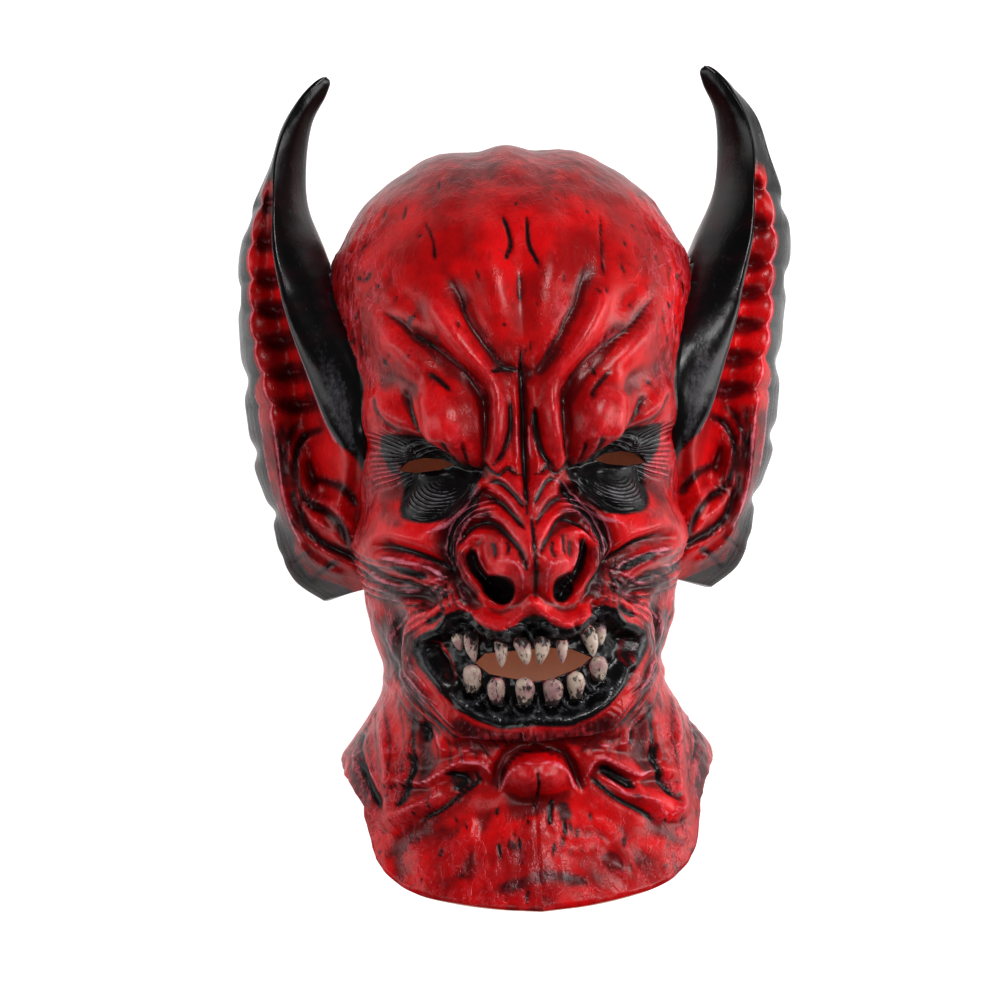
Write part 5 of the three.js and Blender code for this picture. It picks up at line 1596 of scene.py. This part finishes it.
def latex_paint(colours, bump):
    """Red latex with black wash in the folds, pale paint and painted highlights on ridges and rough skin,
    black fins and lips, and bone teeth.
    """
    paint = Paint("painted latex")
    mottle = paint.noise(28, 4, 0.6)
    patch = paint.noise(90, 3, 0.6, shift=(5, 2, 1))
    streak = paint.noise(430, 4, 0.65, stretch=(1, 0.55, 1), shift=(3, 1, 2))
    scratch = paint.noise(210, 5, 0.75, stretch=(1, 0.5, 1), shift=(7, 4, 5))
    speck = paint.noise(900, 3, 0.7)
    edge = paint.noise(380, 4, 0.65) - 0.5
    crinkle = (paint.noise(95, 4, 0.6, stretch=(1, 0.55, 1), shift=(2, 8, 3)) - 0.5).size().step(0.045, 0.0)
    pale = paint.field("pale")
    rough = paint.field("rough")
    bend = paint.field("bend")
    shade = paint.field("shade")
    furrows = paint.field("turn").wave() * paint.field("furrow")
    # red, darker with airbrushing, towards the crown and round creases, with painted shade in grooves and in
    # the ear's hollows
    red = paint.blend(mottle.step(0.35, 0.7), colours.deep_red, colours.bright_red)
    dark_airbrush_and_shade = (shade + (patch - 0.5) * 0.8).step(0.12, 0.8) * 0.95
    red = paint.blend(dark_airbrush_and_shade, red, colours.dark_airbrush_and_shade)
    # Painted shade in grooves and hollows.
    groove_shade = (bend + (patch - 0.5) * 0.6).step(-0.15, -0.9) * 0.7
    skin = paint.blend(groove_shade, red, colours.groove_shade)
    # pale dry brushing with painted highlights, coarse brushing with painted sheen on rough skin, painted
    # highlight on what stands out, and scratches
    # Pale paint, partly dry brushing and partly painted highlight.
    brushed_and_highlit = (pale * 1.1 + (streak - 0.5) * 3.6 + (patch - 0.5) * 1.6).step(0.5, 1.3)
    skin = paint.blend(brushed_and_highlit * 0.4, skin, colours.brushed_and_highlit)
    # Coarse brushing on rough skin, with painted sheen on its crinkles.
    coarse_brushing_and_sheen = rough * (scratch.step(0.52, 0.68) * 0.5 + crinkle * 0.5)
    skin = paint.blend(coarse_brushing_and_sheen, skin, colours.coarse_brushing_and_sheen)
    # Lighter red on what stands out: painted highlight, and dry brushing.
    raised = (bend + (streak - 0.5) * 2).step(0.5, 1.4) * 0.4
    skin = paint.blend(raised, skin, colours.raised)
    scratched = (rough + 0.25) * scratch.step(0.45, 0.34) * 0.75
    skin = paint.blend(scratched, skin, colours.scratch)
    # black of the sockets, lips, blades and fins
    black = (paint.field("black") + edge * 1.6).step(1.0, -0.8)
    coal = paint.blend(shade * patch.step(0.3, 0.7), colours.black, colours.reddish_black)
    # Grey on the black: dry brushing, and painted highlights on the lips, gums and ear blades.
    grey = (pale + rough * 0.4 + (streak - 0.5) * 1.4).step(0.3, 1.2) * 0.55
    coal = paint.blend(grey, coal, colours.grey_brushing_and_sheen)
    skin = paint.blend(black, skin, coal)
    # pale lines with painted highlights, dark wash, and fine wrinkles with painted highlight and shade
    pale_line_and_highlight = paint.blend(black, colours.pink_line, colours.grey_line)
    # Pale lines, partly dry brushing and partly painted highlights along ridges and edges.
    line = (paint.field("light") + edge * 1.4 + (patch - 0.5) * 1.6).step(0.35, -0.6)
    skin = paint.blend(line * 0.75, skin, pale_line_and_highlight)
    ink = paint.field("ink") + edge * 1.8
    skin = paint.blend(ink.step(0.85, -0.3) * 0.7, skin, colours.wash_edge)
    skin = paint.blend(ink.step(0.25, -0.6) * 0.95, skin, colours.wash)
    # Fine wrinkles drawn in paint: painted highlight on their crests, painted shade in their troughs.
    crest_highlights = (furrows + (streak - 0.5) * 1.6).step(0.55, 1.0) * 0.5
    skin = paint.blend(crest_highlights, skin, pale_line_and_highlight)
    skin = paint.blend(furrows.step(-0.3, -0.9) * 0.6, skin, colours.furrow)
    # teeth, and the bare inside
    tooth = paint.blend(patch.step(0.4, 0.65), colours.bone, colours.pink_bone)
    stain = (paint.noise(380, 4, 0.75, stretch=(1, 0.6, 1)) + shade * 0.2).step(0.54, 0.64)
    tooth = paint.blend(stain * 0.92, tooth, colours.stain)
    skin = paint.blend(paint.field("bone"), skin, tooth)
    raw = paint.field("raw")
    skin = paint.blend(raw, skin, colours.bare_latex)
    roughness = 0.31 + brushed_and_highlit * 0.1 - black * 0.08 + (speck - 0.5) * 0.14 + raw * 0.3
    coarse = (scratch + crinkle * 0.7) * (0.25 + rough * 1.2 - black * 0.2)
    height = streak * 0.25 + speck * 0.18 + coarse + furrows * 0.7
    return paint.finish(skin, roughness, height, bump, SKIN_GRAIN)


def floor_paint(settings):
    """White paper, lit from behind."""
    paint = Paint("white paper")
    shade = paint.noise(3, 2)
    grey = settings.paper_grey
    roughness = shade * 0.02 + 0.8
    return paint.finish((grey, grey, grey, 1), roughness, shade, 0.0, PAPER_GRAIN, settings.paper_glow)


def paint_colour(name, description, screen):
    """Colour that a user can change, with its default from 0 to 255 as a screen shows it."""
    return bpy.props.FloatVectorProperty(
        name=name, description=description, default=linear(screen), subtype="COLOR", size=4, min=0, max=1
    )


class MaskColours(bpy.types.PropertyGroup):
    deep_red: paint_colour("Deep red", "Red latex in its darker patches", (150, 3, 8))
    bright_red: paint_colour("Bright red", "Red latex in its brighter patches", (212, 8, 16))
    # Dark airbrushing, and painted shade in the ear's hollows.
    dark_airbrush_and_shade: paint_colour("Airbrushing", "Dark airbrushing over the red", (58, 4, 10))
    # Painted shade in grooves.
    groove_shade: paint_colour("Grooves", "Red in the depth of grooves", (48, 2, 6))
    # Pale paint on the red: dry brushing, and painted highlights.
    brushed_and_highlit: paint_colour("Dry brushing", "Pale dry brushing on the red", (212, 72, 88))
    # Coarse brushing, with painted sheen on the crinkles.
    coarse_brushing_and_sheen: paint_colour("Worn skin", "Coarse brushing on rough skin", (206, 84, 100))
    # Painted highlight and dry brushing on what stands out.
    raised: paint_colour("Raised skin", "Lighter red on what stands out", (224, 60, 70))
    scratch: paint_colour("Scratches", "Dark scratches in the red", (44, 4, 10))
    black: paint_colour("Black", "Black of the fins, the sockets and the lips", (11, 11, 13))
    reddish_black: paint_colour("Reddish black", "Black where the red shows through", (50, 10, 20))
    # Grey on the black: dry brushing, and painted highlights.
    grey_brushing_and_sheen: paint_colour("Grey brushing", "Dry brushing on the black", (104, 102, 108))
    # Pale lines, partly painted highlights along ridges and edges.
    pink_line: paint_colour("Pink lines", "Pale lines on the red", (222, 128, 146))
    grey_line: paint_colour("Grey lines", "Pale lines on the black", (140, 136, 142))
    wash_edge: paint_colour("Edge of the wash", "Thin edge of the dark wash", (40, 3, 8))
    wash: paint_colour("Wash", "Dark wash in the folds", (12, 6, 8))
    # Painted shade in the troughs of the fine wrinkles.
    furrow: paint_colour("Furrows", "Bottoms of the fine wrinkles", (20, 4, 8))
    bone: paint_colour("Bone", "Teeth", (188, 170, 156))
    pink_bone: paint_colour("Pink bone", "Pink patches on the teeth", (160, 122, 124))
    stain: paint_colour("Stain", "Dark stain on the teeth", (22, 16, 18))
    bare_latex: paint_colour("Bare latex", "Unpainted inside of the mask", (236, 190, 166))


class MaskDetail(bpy.types.PropertyGroup):
    columns: bpy.props.IntProperty(
        name="Columns", description="Points round the head", default=278, min=60, max=400
    )
    rows: bpy.props.IntProperty(
        name="Rows", description="Rows of the outer skin", default=252, min=60, max=500
    )
    inner_rows: bpy.props.IntProperty(
        name="Inner rows", description="Rows of the inner skin", default=34, min=10, max=100
    )
    ear_rows: bpy.props.IntProperty(
        name="Ear rows", description="Rings along each ear", default=190, min=40, max=300
    )
    ear_span: bpy.props.IntProperty(
        name="Ear points", description="Points between two lines of the ear's front", default=4, min=1, max=8
    )
    bump: bpy.props.FloatProperty(
        name="Skin grain", description="Strength of the fine surface grain", default=0.35, min=0, max=1
    )


class StageSettings(bpy.types.PropertyGroup):
    floor_size: bpy.props.FloatProperty(
        name="Floor", description="Width of the white paper", default=12.0, unit="LENGTH"
    )
    paper_grey: bpy.props.FloatProperty(
        name="Paper", description="Light that the paper throws back", default=0.35, min=0, max=1
    )
    paper_glow: bpy.props.FloatProperty(
        name="Paper glow", description="Light that the backlit paper gives off", default=0.95, min=0, max=4
    )
    left_power: bpy.props.FloatProperty(
        name="Left light", description="Power of the light on the left", default=9.0, unit="POWER"
    )
    right_power: bpy.props.FloatProperty(
        name="Right light", description="Power of the light on the right", default=18.0, unit="POWER"
    )
    key_power: bpy.props.FloatProperty(
        name="Key light", description="Power of the light above the forehead", default=17.0, unit="POWER"
    )
    fill_power: bpy.props.FloatProperty(
        name="Fill light", description="Power of the light below the chin", default=5.0, unit="POWER"
    )
    contrast: bpy.props.FloatProperty(
        name="Contrast", description="Gamma of the picture, darker below one", default=0.86, min=0.5, max=1.5
    )
    sky: bpy.props.FloatProperty(
        name="Sky", description="Strength of the white surroundings", default=0.1, min=0, max=4
    )


class MASK_OT_build(bpy.types.Operator):
    """Build the sculpted and painted skin of the mask"""

    bl_idname = "mask.build"
    bl_label = "Build mask"

    def execute(self, context):
        detail = context.scene.mask_detail
        body = build_mask(detail)
        body.data.materials.clear()
        body.data.materials.append(latex_paint(context.scene.mask_colours, detail.bump))
        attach(body, "root")
        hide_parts("demon_mask")
        return {"FINISHED"}


def area_light(name, place, size, power):
    """Rectangular light that points at the middle of the mask."""
    light = bpy.data.lights.new(name, "AREA")
    light.shape = "RECTANGLE"
    light.size = size[0]
    light.size_y = size[1]
    light.energy = power
    thing = bpy.data.objects.new(name, light)
    thing.location = place
    thing.rotation_euler = (Vector(LIGHT_TARGET) - Vector(place)).to_track_quat("-Z", "Y").to_euler()
    bpy.context.scene.collection.objects.link(thing)


def place_camera():
    """Camera that sees the mask as the photograph does."""
    right = Vector((math.cos(VIEW_YAW), 0, math.sin(VIEW_YAW)))
    away = Vector((-math.sin(VIEW_YAW), 0, math.cos(VIEW_YAW)))
    up = Vector((0, 1, 0))
    image_right = right * math.cos(VIEW_ROLL) - up * math.sin(VIEW_ROLL)
    image_up = right * math.sin(VIEW_ROLL) + up * math.cos(VIEW_ROLL)
    face = Vector((-MIDDLE_X, -MIDDLE_Y, FACE_Z - FLAT_Z))
    place = (image_right * SHIFT_X + image_up * SHIFT_Y + face + away * VIEW_DISTANCE) * MM
    camera = bpy.data.cameras.new("camera")
    camera.sensor_width = SENSOR_WIDTH
    camera.lens = SENSOR_WIDTH * VIEW_DISTANCE / (MM_PER_PIXEL * PICTURE_PIXELS)
    camera.clip_end = 50.0
    thing = bpy.data.objects.new("camera", camera)
    axes = Matrix((image_right, image_up, away)).transposed()
    thing.matrix_world = Matrix.Translation(place) @ axes.to_4x4()
    bpy.context.scene.collection.objects.link(thing)
    bpy.context.scene.camera = thing


class MASK_OT_stage(bpy.types.Operator):
    """Lay white paper, set the studio lights and point the camera down at the face"""

    bl_idname = "mask.stage"
    bl_label = "Build stage"

    def execute(self, context):
        settings = context.scene.mask_stage
        mesh = bpy.data.meshes.new("floor")
        bm = bmesh.new()
        bmesh.ops.create_grid(bm, x_segments=1, y_segments=1, size=settings.floor_size / 2)
        bm.to_mesh(mesh)
        bm.free()
        floor = mesh_object(mesh)
        floor.name = "floor"
        floor.data.materials.append(floor_paint(settings))
        for name, place, size in LIGHTS:
            area_light(name, place, size, getattr(settings, name + "_power"))
        world = bpy.data.worlds.new("studio")
        world.use_nodes = True
        back = world.node_tree.nodes["Background"]
        back.inputs["Color"].default_value = (1, 1, 1, 1)
        back.inputs["Strength"].default_value = settings.sky
        context.scene.world = world
        context.scene.view_settings.view_transform = "Standard"
        context.scene.view_settings.gamma = settings.contrast
        place_camera()
        return {"FINISHED"}


class MASK_PT_panel(bpy.types.Panel):
    """Buttons and sizes for the mask"""

    bl_idname = "MASK_PT_panel"
    bl_label = "Demon mask"
    bl_space_type = "VIEW_3D"
    bl_region_type = "UI"
    bl_category = "Mask"

    def draw(self, context):
        for settings in (context.scene.mask_detail, context.scene.mask_colours, context.scene.mask_stage):
            for key in settings.__annotations__:
                self.layout.prop(settings, key)
        self.layout.operator("mask.build")
        self.layout.operator("mask.stage")


CLASSES = (MaskDetail, MaskColours, StageSettings, MASK_OT_build, MASK_OT_stage, MASK_PT_panel)


def register():
    for item in CLASSES:
        bpy.utils.register_class(item)
    bpy.types.Scene.mask_detail = bpy.props.PointerProperty(type=MaskDetail)
    bpy.types.Scene.mask_colours = bpy.props.PointerProperty(type=MaskColours)
    bpy.types.Scene.mask_stage = bpy.props.PointerProperty(type=StageSettings)


def unregister():
    del bpy.types.Scene.mask_stage
    del bpy.types.Scene.mask_colours
    del bpy.types.Scene.mask_detail
    for item in reversed(CLASSES):
        bpy.utils.unregister_class(item)


def main():
    register()
    bpy.ops.mask.build()
    bpy.ops.mask.stage()


if __name__ == "__main__":
    main()
